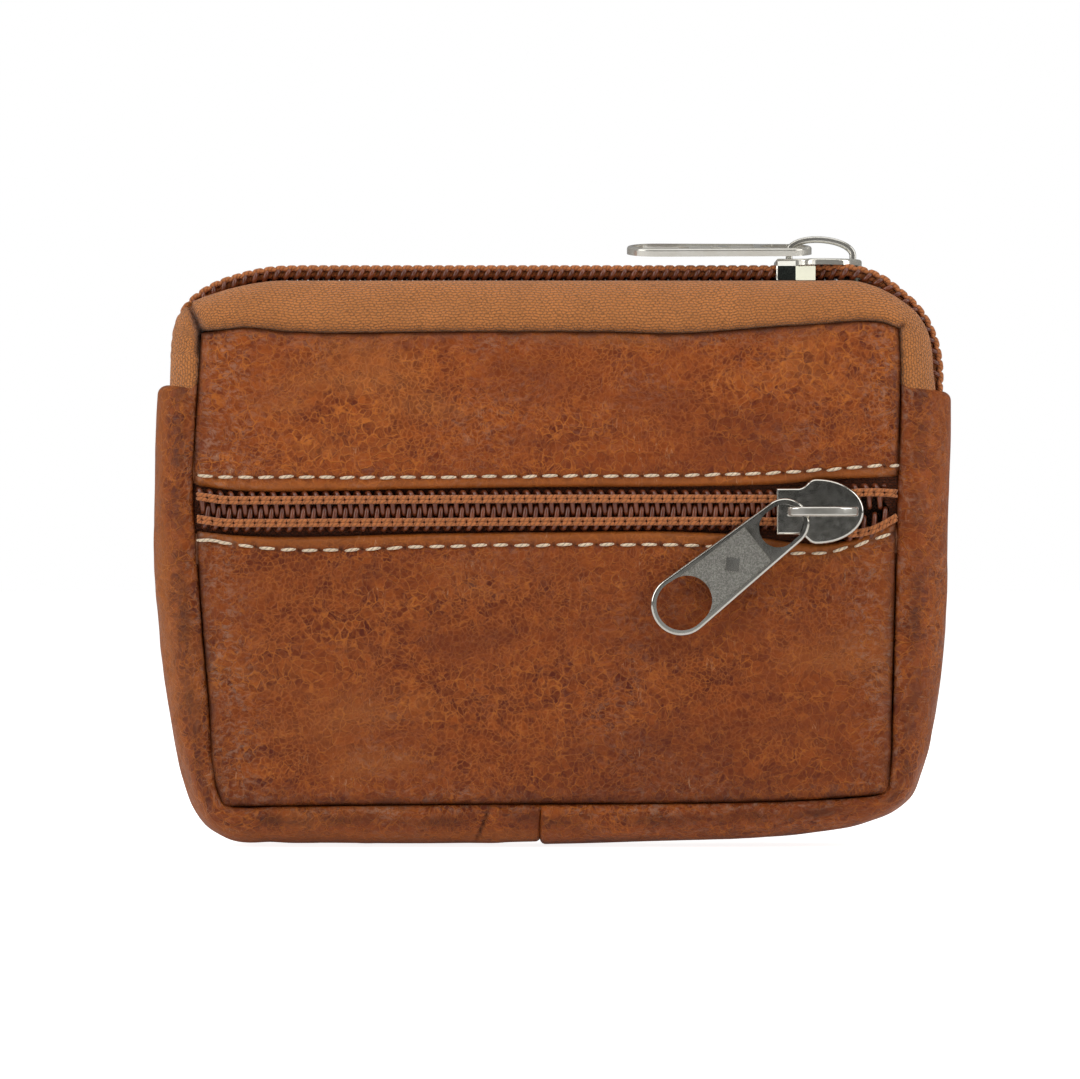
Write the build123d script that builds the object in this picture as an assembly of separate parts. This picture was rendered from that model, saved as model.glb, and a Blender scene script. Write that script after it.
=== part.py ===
from build123d import *
import math
import os

# A small leather pouch that stands on its bottom edge. X runs along the zips, -Y is the
# front, +Z is up. The pieces are drawn with y = 0 halfway between the outer faces of the
# front and back panels, then moved back by BOX_MIDDLE, so that the finished pouch has its
# origin under the middle of its whole box, pulls included. All sizes are millimetres.

# Materials
LEATHER = 1.0
TAPE = 0.5
LINING = 0.4
GAP = 0.05                      # space left between pieces that are sewn face to face

# Leather body
PANEL_Y = 8.0                   # outer face of the front and back panels, from the middle
PANEL_BOTTOM = 6.4
PANEL_TOP = 71.5
PANEL_HALF_BOTTOM = 46.5
PANEL_HALF_TOP = 48.6
PANEL_CORNER = 3.0
PANEL_EDGE_ROUND = 0.9
ALLOWANCE = 4.0                 # leather turned in along every seam
BULGE = 6.4                     # how far the gusset stands out beyond the seam
GUSSET_SEAM_Y = 6.9             # where the gusset's outside meets the seam
GUSSET_TOP = 62.5
BOTTOM_SEAM_X = -1.6            # where the two gusset strips are joined
BOX_MIDDLE = 2.2                # from the middle of the pouch's whole box back to y = 0

# Zip chain, the same size for both zips
PITCH = 1.46
COIL_R = 0.8
COIL_LINE = 1.85                # from the chain's middle to the middle of one row
HEAD_REACH = 0.3                # how far a head crosses the chain's middle
HEAD_WIDTH = 0.55
THREAD_R = 0.2
MAIN_SPREAD = 1.35              # how far each row has moved aside where the chain is open
FRONT_SPREAD = 0.67

# Main zip, over the top of the pouch
CHAIN_TOP = 78.5
CHAIN_HALF = 52.6
CHAIN_CORNER = 10.5
TAPE_SHOULDER_Y = 4.7           # where the tape turns over from the top to the face
TAPE_FACE_Y = 7.4
TAPE_INNER_Y = 0.85             # from the chain's middle to the tape's edge
MAIN_SLIDER_X = 37.1

# Front pocket zip
FRONT_ZIP_Z = 46.4
FRONT_TAPE_Y = 6.0              # outer face of the tape, behind the folded leather edges
FRONT_TAPE_HALF = 45.8
FRONT_TAPE_WIDTH = 12.2
POCKET_MOUTH = 3.35             # from the chain's middle to each folded leather edge
HEM = 4.5
FRONT_SLIDER_X = 36.8
STITCH_PITCH = 2.95
STITCH_LENGTH = 1.95
STITCH_R = 0.25
STITCH_FROM_EDGE = 1.7
PULL_SWIVEL = 38.5              # the front pull hangs down from the chain by this angle

# Slider. n is the height above the tape's outer face.
SLIDER_LENGTH = 12.1
SLIDER_HALF_TAIL = 3.2
SLIDER_HALF_NOSE = 4.5
PLATE_BOTTOM_N = 2.22
PLATE_TOP_N = 3.1
BACK_PLATE_N = -0.6
BACK_PLATE = 0.8
FLANGE_SHARE = 0.45             # of the slider's length, from its tail
DIAMOND_X = 4.5
DIAMOND_LENGTH = 2.4
DIAMOND_HALF = 0.36
BAIL_WIDTH = 1.3
BAIL_THICK = 0.9
BAIL_LEFT_X = -4.1
BAIL_RIGHT_X = 4.8
BAIL_TOP_N = 6.4
BAIL_PEAK = 0.42                # where the arch is highest, as a share of its span

# Pull
PULL_LENGTH = 25.8
PULL_THICK = 1.1
FRONT_PULL_N = 4.0              # height of each pull's middle plane
MAIN_PULL_N = 4.5
PULL_ROLL = 9.0                 # the main pull lies on its zip with its front edge lower
PULL_RIM = 0.8
PULL_HALF_NEAR = 3.4
PULL_HALF_FAR = 4.2
EYE_LENGTH = 6.4
EYE_HALF = 2.6
FINGER_HOLE_LENGTH = 7.9
FINGER_HOLE_HALF = 3.5
PULL_ROUND = 0.35
RECESS_DEPTH = 0.25             # of the sunk field between the two holes, on both faces
RECESS_FROM_EYE = 0.9
RECESS_RIM = 0.62
MARK_SIZE = 1.8
MAIN_PIVOT_X = -1.35            # from the slider's middle to the pull's pivot
FRONT_PIVOT_X = -2.6
FRONT_PIVOT_SIDE = 0.3          # and to the side, towards the top of the pouch

# Linings
DIVIDER_Y = -3.9
BACK_LINING_Y = 6.4
LINING_INSET = 1.35

PARTS = "parts"


def panel_half(z):
    """Half the panel's width at height z: the sides lean in slightly towards the bottom."""
    rise = (z - PANEL_BOTTOM) / (PANEL_TOP - PANEL_BOTTOM)
    return PANEL_HALF_BOTTOM + (PANEL_HALF_TOP - PANEL_HALF_BOTTOM) * rise


def panel_outline(inset=0.0):
    """The panel's face in the XZ plane, with its corners rounded."""
    low, high = PANEL_BOTTOM + inset, PANEL_TOP - inset
    corners = [
        (-panel_half(low) + inset, low),
        (panel_half(low) - inset, low),
        (panel_half(high) - inset, high),
        (-panel_half(high) + inset, high),
    ]
    face = make_face(Plane.XZ * Polyline(*corners, close=True))
    return fillet(face.vertices(), PANEL_CORNER - min(inset, PANEL_CORNER / 2))


def at_depth(face, y):
    """A face drawn in the XZ plane, moved to depth y."""
    return Pos(0, y, 0) * face


def turned_panel():
    """The front panel before its zip is cut: a leather sheet whose edges are turned in."""
    block = extrude(at_depth(panel_outline(), -PANEL_Y), amount=-ALLOWANCE)
    front_face = block.faces().sort_by(Axis.Y)[0]
    block = fillet(front_face.edges(), PANEL_EDGE_ROUND)
    inner_face = block.faces().sort_by(Axis.Y)[-1]
    return offset(block, amount=-LEATHER, openings=inner_face)


def box_between(low, high):
    """A box from its lowest corner to its highest corner."""
    size = [b - a for a, b in zip(low, high)]
    middle = [(a + b) / 2 for a, b in zip(low, high)]
    return Pos(*middle) * Box(*size)


def front_panels():
    """The upper and lower front panels, each with its zip edge folded back on itself."""
    mouth_low, mouth_high = FRONT_ZIP_Z - POCKET_MOUTH, FRONT_ZIP_Z + POCKET_MOUTH
    far = 2 * PANEL_HALF_TOP
    sheet = turned_panel()
    made = []
    for keep_low, keep_high, edge, side in (
        (mouth_high, PANEL_TOP + LEATHER, mouth_high, 1),
        (0.0, mouth_low, mouth_low, -1),
    ):
        panel = sheet & box_between((-far, -far, keep_low), (far, 0, keep_high))
        fold_end = edge + side * HEM
        fold = box_between(
            (-FRONT_TAPE_HALF, -PANEL_Y + LEATHER / 2, min(edge, fold_end)),
            (FRONT_TAPE_HALF, -FRONT_TAPE_Y - GAP, max(edge, fold_end)),
        )
        made.append(panel + fold)
    return made


def gusset_profile():
    """Section through the side strip, drawn with x outwards from the seam and y as depth."""
    reach = BULGE - GAP
    radius = (GUSSET_SEAM_Y**2 + reach**2) / (2 * reach)
    ring = Circle(radius) - Circle(radius - LEATHER)
    ring = Pos(BULGE - radius, 0) * ring
    outside = Pos(GAP + radius, 0) * Rectangle(2 * radius, 4 * radius)
    profile = ring & outside
    flange_start = GUSSET_SEAM_Y - LEATHER
    flange_end = PANEL_Y - ALLOWANCE + 2 * GAP
    for side in (-1, 1):
        middle = side * (flange_start + flange_end) / 2
        flange = Rectangle(LEATHER, flange_start - flange_end)
        profile += Pos(GAP + LEATHER / 2, middle) * flange
    return profile


def seam_path(side, inset=0.0, top=GUSSET_TOP, end_x=BOTTOM_SEAM_X):
    """The seam line from the top of one side strip, down and round to the bottom seam."""
    low = PANEL_BOTTOM + inset
    points = [
        (side * (panel_half(top) - inset), 0, top),
        (side * (panel_half(low) - inset), 0, low),
        (end_x, 0, low),
    ]
    lines = Polyline(*points)
    corner = lines.vertices().sort_by_distance(points[1])[0]
    return fillet([corner], PANEL_CORNER - inset)


def sweep_outwards(profile, path, side):
    """Sweeps a profile drawn as (outwards, depth) down a seam path that starts at the top."""
    start = Plane(origin=path @ 0, x_dir=(side, 0, 0), z_dir=path % 0)
    # On the right the plane's own y axis points to the front, so the section is symmetrical.
    return sweep(start * profile, path=path)


def gusset(side):
    """One of the two leather side strips, which meet in a seam at the bottom."""
    path = seam_path(side, end_x=BOTTOM_SEAM_X + side * GAP)
    return sweep_outwards(gusset_profile(), path, side)


def gusset_lining():
    """Fabric strip that lines the gusset between the two linings of the main compartment."""
    low_y, high_y = DIVIDER_Y + LINING + GAP, BACK_LINING_Y - GAP
    top = GUSSET_TOP - LEATHER
    strips = []
    for side in (-1, 1):
        path = seam_path(side, LINING_INSET, top, 0.0)
        start = Plane(origin=path @ 0, x_dir=(0, 1, 0), z_dir=path % 0)
        width = high_y - low_y
        section = Pos((low_y + high_y) / 2, 0) * Rectangle(width, LINING)
        strips.append(sweep(start * section, path=path))
    return strips[0] + strips[1]


def chain_rail(corner_steps):
    """Stations (seam point, chain point) of the main tape, from its left end over to the right."""
    seam_z = PANEL_TOP - PANEL_CORNER
    chain_z = CHAIN_TOP - CHAIN_CORNER
    right = []
    right.append(((panel_half(GUSSET_TOP), GUSSET_TOP), (CHAIN_HALF, GUSSET_TOP)))
    for step in range(corner_steps + 1):
        angle = math.pi / 2 * step / corner_steps
        out_x, out_z = math.cos(angle), math.sin(angle)
        seam = (
            PANEL_HALF_TOP - PANEL_CORNER + PANEL_CORNER * out_x,
            seam_z + PANEL_CORNER * out_z,
        )
        chain = (
            CHAIN_HALF - CHAIN_CORNER + CHAIN_CORNER * out_x,
            chain_z + CHAIN_CORNER * out_z,
        )
        right.append((seam, chain))
    left = [((-s[0], s[1]), (-c[0], c[1])) for s, c in right]
    return left + right[::-1]


def tape_section(seam, chain, side):
    """Closed section of half the main zip's tape, in the plane through the two rail points."""
    height = math.dist(seam, chain)
    shoulder = 0.62 * height
    outer = [
        (GAP, PANEL_Y - ALLOWANCE + 2 * GAP),
        (GAP, TAPE_FACE_Y),
        (shoulder, TAPE_FACE_Y - 0.4),
        (height, TAPE_SHOULDER_Y),
        (height, TAPE_INNER_Y),
    ]
    inner = [
        (height - TAPE, TAPE_INNER_Y),
        (height - TAPE, TAPE_SHOULDER_Y - 0.2),
        (shoulder - 0.2, TAPE_FACE_Y - 0.4 - TAPE),
        (GAP + TAPE, TAPE_FACE_Y - TAPE),
        (GAP + TAPE, PANEL_Y - ALLOWANCE + 2 * GAP),
    ]
    out_x = (chain[0] - seam[0]) / height
    out_z = (chain[1] - seam[1]) / height
    points = [(seam[0] + u * out_x, side * y, seam[1] + u * out_z) for u, y in outer + inner]
    return Wire.make_polygon(points, close=True)


def main_tape(side):
    """Half of the main zip's woven tape: side -1 is the front half, 1 the back half."""
    sections = [tape_section(seam, chain, side) for seam, chain in chain_rail(6)]
    return Solid.make_loft(sections, ruled=True)


def parting(slider_x):
    """Where along the chain the two rows start to part and where they are fully apart."""
    return slider_x, slider_x + SLIDER_LENGTH / 3


def parted_share(x, slider_x):
    """How far the rows have parted at x: 0 behind the slider, 1 from its nose on."""
    start, end = parting(slider_x)
    share = min(1.0, max(0.0, (x - start) / (end - start)))
    return share * share * (3 - 2 * share)


def main_row_path(side, offset_y, height):
    """Middle line of a cord that lies on the main chain, height above the tape."""
    half = CHAIN_HALF + height
    radius = CHAIN_CORNER + height
    top = CHAIN_TOP + height
    low = GUSSET_TOP + 2 * GAP
    corner_z = top - radius
    corner_x = half - radius
    bend = radius * math.sqrt(0.5)
    start_x, end_x = parting(MAIN_SLIDER_X)
    shut, apart = side * offset_y, side * (offset_y + MAIN_SPREAD)
    return Wire([
        Line((-half, shut, low), (-half, shut, corner_z)),
        ThreePointArc(
            (-half, shut, corner_z),
            (-corner_x - bend, shut, corner_z + bend),
            (-corner_x, shut, top),
        ),
        Line((-corner_x, shut, top), (start_x, shut, top)),
        Spline((start_x, shut, top), (end_x, apart, top), tangents=[(1, 0, 0), (1, 0, 0)]),
        Line((end_x, apart, top), (corner_x, apart, top)),
        ThreePointArc(
            (corner_x, apart, top),
            (corner_x + bend, apart, corner_z + bend),
            (half, apart, corner_z),
        ),
        Line((half, apart, corner_z), (half, apart, low)),
    ])


def cord(path, radius):
    """A round cord along a path."""
    start = Plane(origin=path @ 0, z_dir=path % 0)
    return sweep(start * Circle(radius), path=path)


def chain_place(distance):
    """(x, z, outward angle) at a distance along the main chain from its left end."""
    side = CHAIN_TOP - CHAIN_CORNER - GUSSET_TOP
    corner = CHAIN_CORNER * math.pi / 2
    top = 2 * (CHAIN_HALF - CHAIN_CORNER)
    if distance < side:
        return -CHAIN_HALF, GUSSET_TOP + distance, math.pi
    distance -= side
    if distance < corner:
        angle = math.pi - distance / CHAIN_CORNER
        return (
            -CHAIN_HALF + CHAIN_CORNER * (1 + math.cos(angle)),
            CHAIN_TOP - CHAIN_CORNER * (1 - math.sin(angle)),
            angle,
        )
    distance -= corner
    if distance < top:
        return -CHAIN_HALF + CHAIN_CORNER + distance, CHAIN_TOP, math.pi / 2
    distance -= top
    if distance < corner:
        angle = math.pi / 2 - distance / CHAIN_CORNER
        return (
            CHAIN_HALF - CHAIN_CORNER * (1 - math.cos(angle)),
            CHAIN_TOP - CHAIN_CORNER * (1 - math.sin(angle)),
            angle,
        )
    return CHAIN_HALF, CHAIN_TOP - CHAIN_CORNER - (distance - corner), 0.0


def head(offset_y, side):
    """One coil head, reaching from the row over the chain's middle; its x is along the chain."""
    near, far = -HEAD_REACH, COIL_LINE
    block = Box(HEAD_WIDTH, far - near, COIL_R)
    return Pos(0, side * (offset_y + (near + far) / 2), COIL_R) * block


def main_coil(side):
    """One row of the main chain: its cord and coil as a round bar, with a head per turn."""
    height = COIL_R + GAP
    bar = cord(main_row_path(side, COIL_LINE, height), COIL_R)
    length = 2 * (CHAIN_TOP - CHAIN_CORNER - GUSSET_TOP) + math.pi * CHAIN_CORNER
    length += 2 * (CHAIN_HALF - CHAIN_CORNER)
    heads = []
    first = PITCH * (1.0 if side < 0 else 1.5)
    for turn in range(int((length - 2 * PITCH) / PITCH)):
        x, z, angle = chain_place(first + turn * PITCH)
        offset_y = MAIN_SPREAD * parted_share(x, MAIN_SLIDER_X) + GAP
        tilt = 90 - math.degrees(angle)
        heads.append(Pos(x, 0, z) * Rot(0, tilt, 0) * head(offset_y, side))
    return bar.fuse(*heads)


def main_thread(side):
    """The sewing thread that holds one coil row of the main chain to its tape."""
    return cord(main_row_path(side, COIL_LINE, 2 * COIL_R + 2 * GAP + THREAD_R), THREAD_R)


def front_row_path(side, height):
    """Middle line of a cord on one row of the pocket zip: side 1 is the upper row."""
    y = -FRONT_TAPE_Y - height
    start_x, end_x = parting(FRONT_SLIDER_X)
    shut = FRONT_ZIP_Z + side * COIL_LINE
    apart = shut + side * FRONT_SPREAD
    return Wire([
        Line((-FRONT_TAPE_HALF, y, shut), (start_x, y, shut)),
        Spline((start_x, y, shut), (end_x, y, apart), tangents=[(1, 0, 0), (1, 0, 0)]),
        Line((end_x, y, apart), (FRONT_TAPE_HALF, y, apart)),
    ])


def front_coil(side):
    """One row of the pocket zip's chain."""
    bar = cord(front_row_path(side, COIL_R + GAP), COIL_R)
    first = -FRONT_TAPE_HALF + PITCH * (1.0 if side < 0 else 0.5)
    heads = []
    for turn in range(int((2 * FRONT_TAPE_HALF - PITCH) / PITCH)):
        x = first + turn * PITCH
        offset = FRONT_SPREAD * parted_share(x, FRONT_SLIDER_X) + GAP
        block = Rot(90, 0, 0) * head(offset, side)
        heads.append(Pos(x, -FRONT_TAPE_Y, FRONT_ZIP_Z) * block)
    return bar.fuse(*heads)


def front_thread(side):
    """The sewing thread that holds one coil row of the pocket zip to its tape."""
    return cord(front_row_path(side, 2 * COIL_R + 2 * GAP + THREAD_R), THREAD_R)


def front_tape(side):
    """Half of the pocket zip's tape, behind the folded edge of the leather."""
    near = FRONT_ZIP_Z + side * TAPE_INNER_Y
    far = near + side * FRONT_TAPE_WIDTH
    return box_between(
        (-FRONT_TAPE_HALF, -FRONT_TAPE_Y, min(near, far)),
        (FRONT_TAPE_HALF, -FRONT_TAPE_Y + TAPE, max(near, far)),
    )


def topstitch(side):
    """The row of stitches beside one folded edge, each seen as a short length of thread."""
    z = FRONT_ZIP_Z + side * (POCKET_MOUTH + STITCH_FROM_EDGE)
    half = panel_half(z) - 1.5
    count = int(2 * half / STITCH_PITCH)
    start = -STITCH_PITCH * (count - 1) / 2
    bead = Cylinder(STITCH_R, STITCH_LENGTH, rotation=(0, 90, 0))
    bead = fillet(bead.edges(), STITCH_R * 0.9)
    y = -PANEL_Y - STITCH_R - GAP
    return Compound([Pos(start + n * STITCH_PITCH, y, z) * bead for n in range(count)])


def slider_outline(half_tail, half_nose, length):
    """Outline of a slider plate: a straight tail that flares into a half-ellipse nose."""
    tail_x = -length / 2
    neck_x = tail_x + 0.24 * length
    wide_x = tail_x + 0.46 * length
    nose = length / 2 - wide_x
    sides = []
    for side in (-1, 1):
        tail_end, neck = (tail_x, side * half_tail), (neck_x, side * half_tail)
        flare = Spline(neck, (wide_x, side * half_nose), tangents=[(1, 0), (1, 0)])
        sides += [Line(tail_end, neck), flare]
    tip = EllipticalCenterArc((wide_x, 0), nose, half_nose, start_angle=-90, arc_size=180)
    tail = Line((tail_x, half_tail), (tail_x, -half_tail))
    return make_face(Wire([*sides, tip, tail]))


def slider_body():
    """Slider in its own frame: nose towards +X, n along +Z, n = 0 on the tape's outer face."""
    outline = slider_outline(SLIDER_HALF_TAIL, SLIDER_HALF_NOSE, SLIDER_LENGTH)
    plate = extrude(Pos(0, 0, PLATE_BOTTOM_N) * outline, amount=PLATE_TOP_N - PLATE_BOTTOM_N)
    top_face = plate.faces().sort_by(Axis.Z)[-1]
    plate = fillet(top_face.edges(), 0.35)
    back = extrude(Pos(0, 0, BACK_PLATE_N) * outline, amount=-BACK_PLATE)
    diamond_height = PLATE_TOP_N - BACK_PLATE_N
    diamond = Pos(DIAMOND_X, 0, BACK_PLATE_N + diamond_height / 2 - 0.2) * extrude(
        Ellipse(DIAMOND_LENGTH / 2, DIAMOND_HALF), amount=diamond_height / 2 - 0.2, both=True
    )
    body = plate + back + diamond
    flange_inner = COIL_LINE + COIL_R + 0.12
    tail_flange = SLIDER_LENGTH * FLANGE_SHARE
    for side in (-1, 1):
        low = min(side * flange_inner, side * SLIDER_HALF_TAIL)
        high = max(side * flange_inner, side * SLIDER_HALF_TAIL)
        tail_x = -SLIDER_LENGTH / 2
        body += box_between(
            (tail_x, low, GAP * 2), (tail_x + tail_flange, high, PLATE_BOTTOM_N + 0.2)
        )
    return body


def bail():
    """The bridge over the slider that holds the pull, staked into the top plate."""
    foot_n = PLATE_TOP_N - 0.4
    top_n = BAIL_TOP_N - BAIL_THICK / 2
    left_x, right_x = BAIL_LEFT_X, BAIL_RIGHT_X
    peak_x = left_x + BAIL_PEAK * (right_x - left_x)
    left_n, right_n = 4.3, 3.7
    arch = EllipticalCenterArc(
        (0, 0), peak_x - left_x, top_n - left_n, start_angle=90, arc_size=90
    )
    fall = EllipticalCenterArc(
        (0, 0), right_x - peak_x, top_n - right_n, start_angle=0, arc_size=90
    )
    upright = Plane.XZ
    path = Wire([
        Line((left_x, 0, foot_n), (left_x, 0, left_n)),
        Pos(peak_x, 0, left_n) * (upright * arch),
        Pos(peak_x, 0, right_n) * (upright * fall),
        Line((right_x, 0, right_n), (right_x, 0, foot_n)),
    ])
    start = Plane(origin=path @ 0, x_dir=(1, 0, 0), z_dir=path % 0)
    section = RectangleRounded(BAIL_THICK, BAIL_WIDTH, 0.3)
    return sweep(start * section, path=path, transition=Transition.ROUND)


def slot_corner(centre, half, lean, side):
    """Where the straight side of a slot meets its round end."""
    return centre + half * math.sin(lean), side * half * math.cos(lean)


def slot_face(x_near, x_far, half_near, half_far):
    """A face with round ends, from x_near to x_far, whose half width may taper."""
    near_c, far_c = x_near - half_near, x_far + half_far
    lean = math.asin((half_far - half_near) / (near_c - far_c))
    near, far = (near_c, half_near, lean), (far_c, half_far, lean)
    top = Line(slot_corner(*near, 1), slot_corner(*far, 1))
    bottom = Line(slot_corner(*far, -1), slot_corner(*near, -1))
    far_end = ThreePointArc(top @ 1, (x_far, 0), bottom @ 0)
    near_end = ThreePointArc(bottom @ 1, (x_near, 0), top @ 0)
    return make_face(Wire([top, far_end, bottom, near_end]))


def pull():
    """Pull in the slider's directions: pivot at the origin, the tab towards -X, n along +Z."""
    near_x = PULL_RIM / 2
    far_x = near_x - PULL_LENGTH
    blank = extrude(
        slot_face(near_x, far_x, PULL_HALF_NEAR, PULL_HALF_FAR), amount=PULL_THICK / 2, both=True
    )
    for face in (blank.faces().sort_by(Axis.Z)[0], blank.faces().sort_by(Axis.Z)[-1]):
        blank = fillet(face.edges(), PULL_ROUND)
    eye_near = near_x - PULL_RIM
    hole_far = far_x + PULL_RIM
    hole_near = hole_far + FINGER_HOLE_LENGTH
    eye = slot_face(eye_near, eye_near - EYE_LENGTH, EYE_HALF, EYE_HALF + 0.05)
    hole = slot_face(hole_near, hole_far, FINGER_HOLE_HALF - 0.1, FINGER_HOLE_HALF)
    for face in (eye, hole):
        blank -= extrude(face, amount=PULL_THICK, both=True)
    panel_near = eye_near - EYE_LENGTH - RECESS_FROM_EYE
    panel_far = hole_near - FINGER_HOLE_HALF
    half_near = PULL_HALF_NEAR + 0.25 - RECESS_RIM
    half_far = PULL_HALF_FAR - 0.3 - RECESS_RIM
    recess = make_face(Polyline(
        (panel_near, half_near), (panel_far, half_far),
        (panel_far, -half_far), (panel_near, -half_near), close=True,
    ))
    for side in (-1, 1):
        floor_n = PULL_THICK / 2 - RECESS_DEPTH
        blank -= extrude(Pos(0, 0, side * floor_n) * recess, amount=side * PULL_THICK)
    mark = Rot(0, 0, 45) * Rectangle(MARK_SIZE, MARK_SIZE)
    mark = Pos((panel_near + hole_near) / 2, 0, PULL_THICK / 2 - RECESS_DEPTH) * mark
    return blank + extrude(mark, amount=RECESS_DEPTH * 0.8)


def on_main(shape):
    """Places a piece drawn in the slider's frame on the main zip."""
    return Pos(MAIN_SLIDER_X, 0, CHAIN_TOP) * shape


def on_front(shape):
    """Places a piece drawn in the slider's frame on the pocket zip, n turned to the front."""
    return Pos(FRONT_SLIDER_X, -FRONT_TAPE_Y, FRONT_ZIP_Z) * (Rot(90, 0, 0) * shape)


def back_panel():
    """The back panel: the front sheet with no zip, mirrored to the back."""
    return mirror(turned_panel(), Plane.XZ)


def lining_sheet(y):
    """A flat lining as large as the panels, its outer face at depth y."""
    return extrude(at_depth(panel_outline(LINING_INSET), y), amount=-LINING)


def model():
    """Every piece of the pouch by its name, as drawn about the middle of the panels."""
    upper, lower = front_panels()
    flat_pull = Pos(MAIN_PIVOT_X, 0, MAIN_PULL_N) * (Rot(PULL_ROLL, 0, 0) * pull())
    hanging_pull = Rot(0, 0, PULL_SWIVEL) * pull()
    hanging_pull = Pos(FRONT_PIVOT_X, FRONT_PIVOT_SIDE, FRONT_PULL_N) * hanging_pull
    return {
        "front_panel_upper": upper,
        "front_panel_lower": lower,
        "back_panel": back_panel(),
        "gusset_left": gusset(-1),
        "gusset_right": gusset(1),
        "divider_lining": lining_sheet(DIVIDER_Y),
        "back_lining": lining_sheet(BACK_LINING_Y),
        "gusset_lining": gusset_lining(),
        "main_zip_tape_front": main_tape(-1),
        "main_zip_tape_back": main_tape(1),
        "main_zip_coil_front": main_coil(-1),
        "main_zip_coil_back": main_coil(1),
        "main_zip_thread_front": main_thread(-1),
        "main_zip_thread_back": main_thread(1),
        "main_zip_slider": on_main(slider_body()),
        "main_zip_bail": on_main(bail()),
        "main_zip_pull": on_main(flat_pull),
        "front_zip_tape_upper": front_tape(1),
        "front_zip_tape_lower": front_tape(-1),
        "front_zip_coil_upper": front_coil(1),
        "front_zip_coil_lower": front_coil(-1),
        "front_zip_thread_upper": front_thread(1),
        "front_zip_thread_lower": front_thread(-1),
        "front_zip_slider": on_front(slider_body()),
        "front_zip_bail": on_front(bail()),
        "front_zip_pull": on_front(hanging_pull),
        "topstitch_upper": topstitch(1),
        "topstitch_lower": topstitch(-1),
    }


os.makedirs(PARTS, exist_ok=True)
for name, shape in model().items():
    export_step(Pos(0, BOX_MIDDLE, 0) * shape, os.path.join(PARTS, name + ".step"))
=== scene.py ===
import math

import bpy
import numpy as np
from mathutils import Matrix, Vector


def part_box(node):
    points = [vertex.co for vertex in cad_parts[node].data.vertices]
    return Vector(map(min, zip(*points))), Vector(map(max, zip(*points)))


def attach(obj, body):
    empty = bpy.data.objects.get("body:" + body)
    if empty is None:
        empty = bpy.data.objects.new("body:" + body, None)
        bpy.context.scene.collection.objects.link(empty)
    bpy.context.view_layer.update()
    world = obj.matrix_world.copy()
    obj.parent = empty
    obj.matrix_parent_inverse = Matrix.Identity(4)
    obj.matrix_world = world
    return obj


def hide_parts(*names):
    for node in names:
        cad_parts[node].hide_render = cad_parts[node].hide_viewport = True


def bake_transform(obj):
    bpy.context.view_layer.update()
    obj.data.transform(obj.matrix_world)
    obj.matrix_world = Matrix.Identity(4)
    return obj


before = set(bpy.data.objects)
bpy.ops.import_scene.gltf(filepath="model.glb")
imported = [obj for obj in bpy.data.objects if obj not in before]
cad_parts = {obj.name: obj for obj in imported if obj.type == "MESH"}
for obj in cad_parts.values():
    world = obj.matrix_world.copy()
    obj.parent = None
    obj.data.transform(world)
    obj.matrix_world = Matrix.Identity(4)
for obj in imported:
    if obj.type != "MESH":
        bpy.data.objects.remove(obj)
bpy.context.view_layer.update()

MM = 0.001
PANEL_Y = 8.0                   # outer face of the back panel from the middle of the leather
# The pieces are drawn about the middle of the leather, and the part's origin is further front.
MIDDLE_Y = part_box("back_panel")[1][1] / MM - PANEL_Y
TO_FRAME = np.array([0.0, MIDDLE_Y, 0.0])


# ---------------------------------------------------------------- numbers
# Everything below is in millimetres in the part's frame; meshes are made in metres.

ZIP_Z = 46.6                    # middle of the pocket zip's chain
FRONT_TAPE_Y = -6.0             # outer face of the pocket zip's tape
CHAIN_TOP = 78.5                # outer face of the main zip's tape on the flat top
SLIDER_X = 37.0
PITCH = 1.46
WIRE_R = 0.34
LOOP_MIDDLE, LOOP_HALF = 1.02, 1.53
LOOP_N, LOOP_RISE = 1.04, 0.68
THREAD_V = 1.57
MAIN_SPREAD = 1.35
# On the main slider's front, in metres: where it starts to lean to the right, and where
# its left and upper edges turn away.
SLIDER_TURN_X, SLIDER_LEFT_X, SLIDER_TOP_Z = 0.03375, 0.03125, 0.0806
GROOVE_Y = 4.2                  # how far in the turned edges reach at a seam
LIP_SPLIT_X = 16.4              # where the pocket's lip stops opening to the right


def curve(points):
    """A smooth function through (x, y) points, flat beyond its ends."""
    xs, ys = np.array(points, float).T
    slope = np.gradient(ys, xs)

    def at(x):
        x = np.clip(np.asarray(x, float), xs[0], xs[-1])
        i = np.clip(np.searchsorted(xs, x) - 1, 0, len(xs) - 2)
        h = xs[i + 1] - xs[i]
        t = (x - xs[i]) / h
        a = (1 + 2 * t) * (1 - t) ** 2
        b = t * (1 - t) ** 2
        c = t * t * (3 - 2 * t)
        d = t * t * (t - 1)
        return a * ys[i] + b * h * slope[i] + c * ys[i + 1] + d * h * slope[i + 1]

    return at


def path(points, step):
    """Points every step along a smooth line through points of any dimension."""
    points = np.array(points, float)
    chord = np.r_[0, np.cumsum(np.linalg.norm(np.diff(points, axis=0), axis=1))]
    fine = np.linspace(0, chord[-1], 4000)
    columns = [curve(np.c_[chord, points[:, k]])(fine) for k in range(points.shape[1])]
    line = np.stack(columns, 1)
    length = np.r_[0, np.cumsum(np.linalg.norm(np.diff(line[:, :2], axis=0), axis=1))]
    count = max(2, int(round(length[-1] / step)) + 1)
    at = np.linspace(0, length[-1], count)
    return np.stack([np.interp(at, length, line[:, k]) for k in range(line.shape[1])], 1), at


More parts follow.
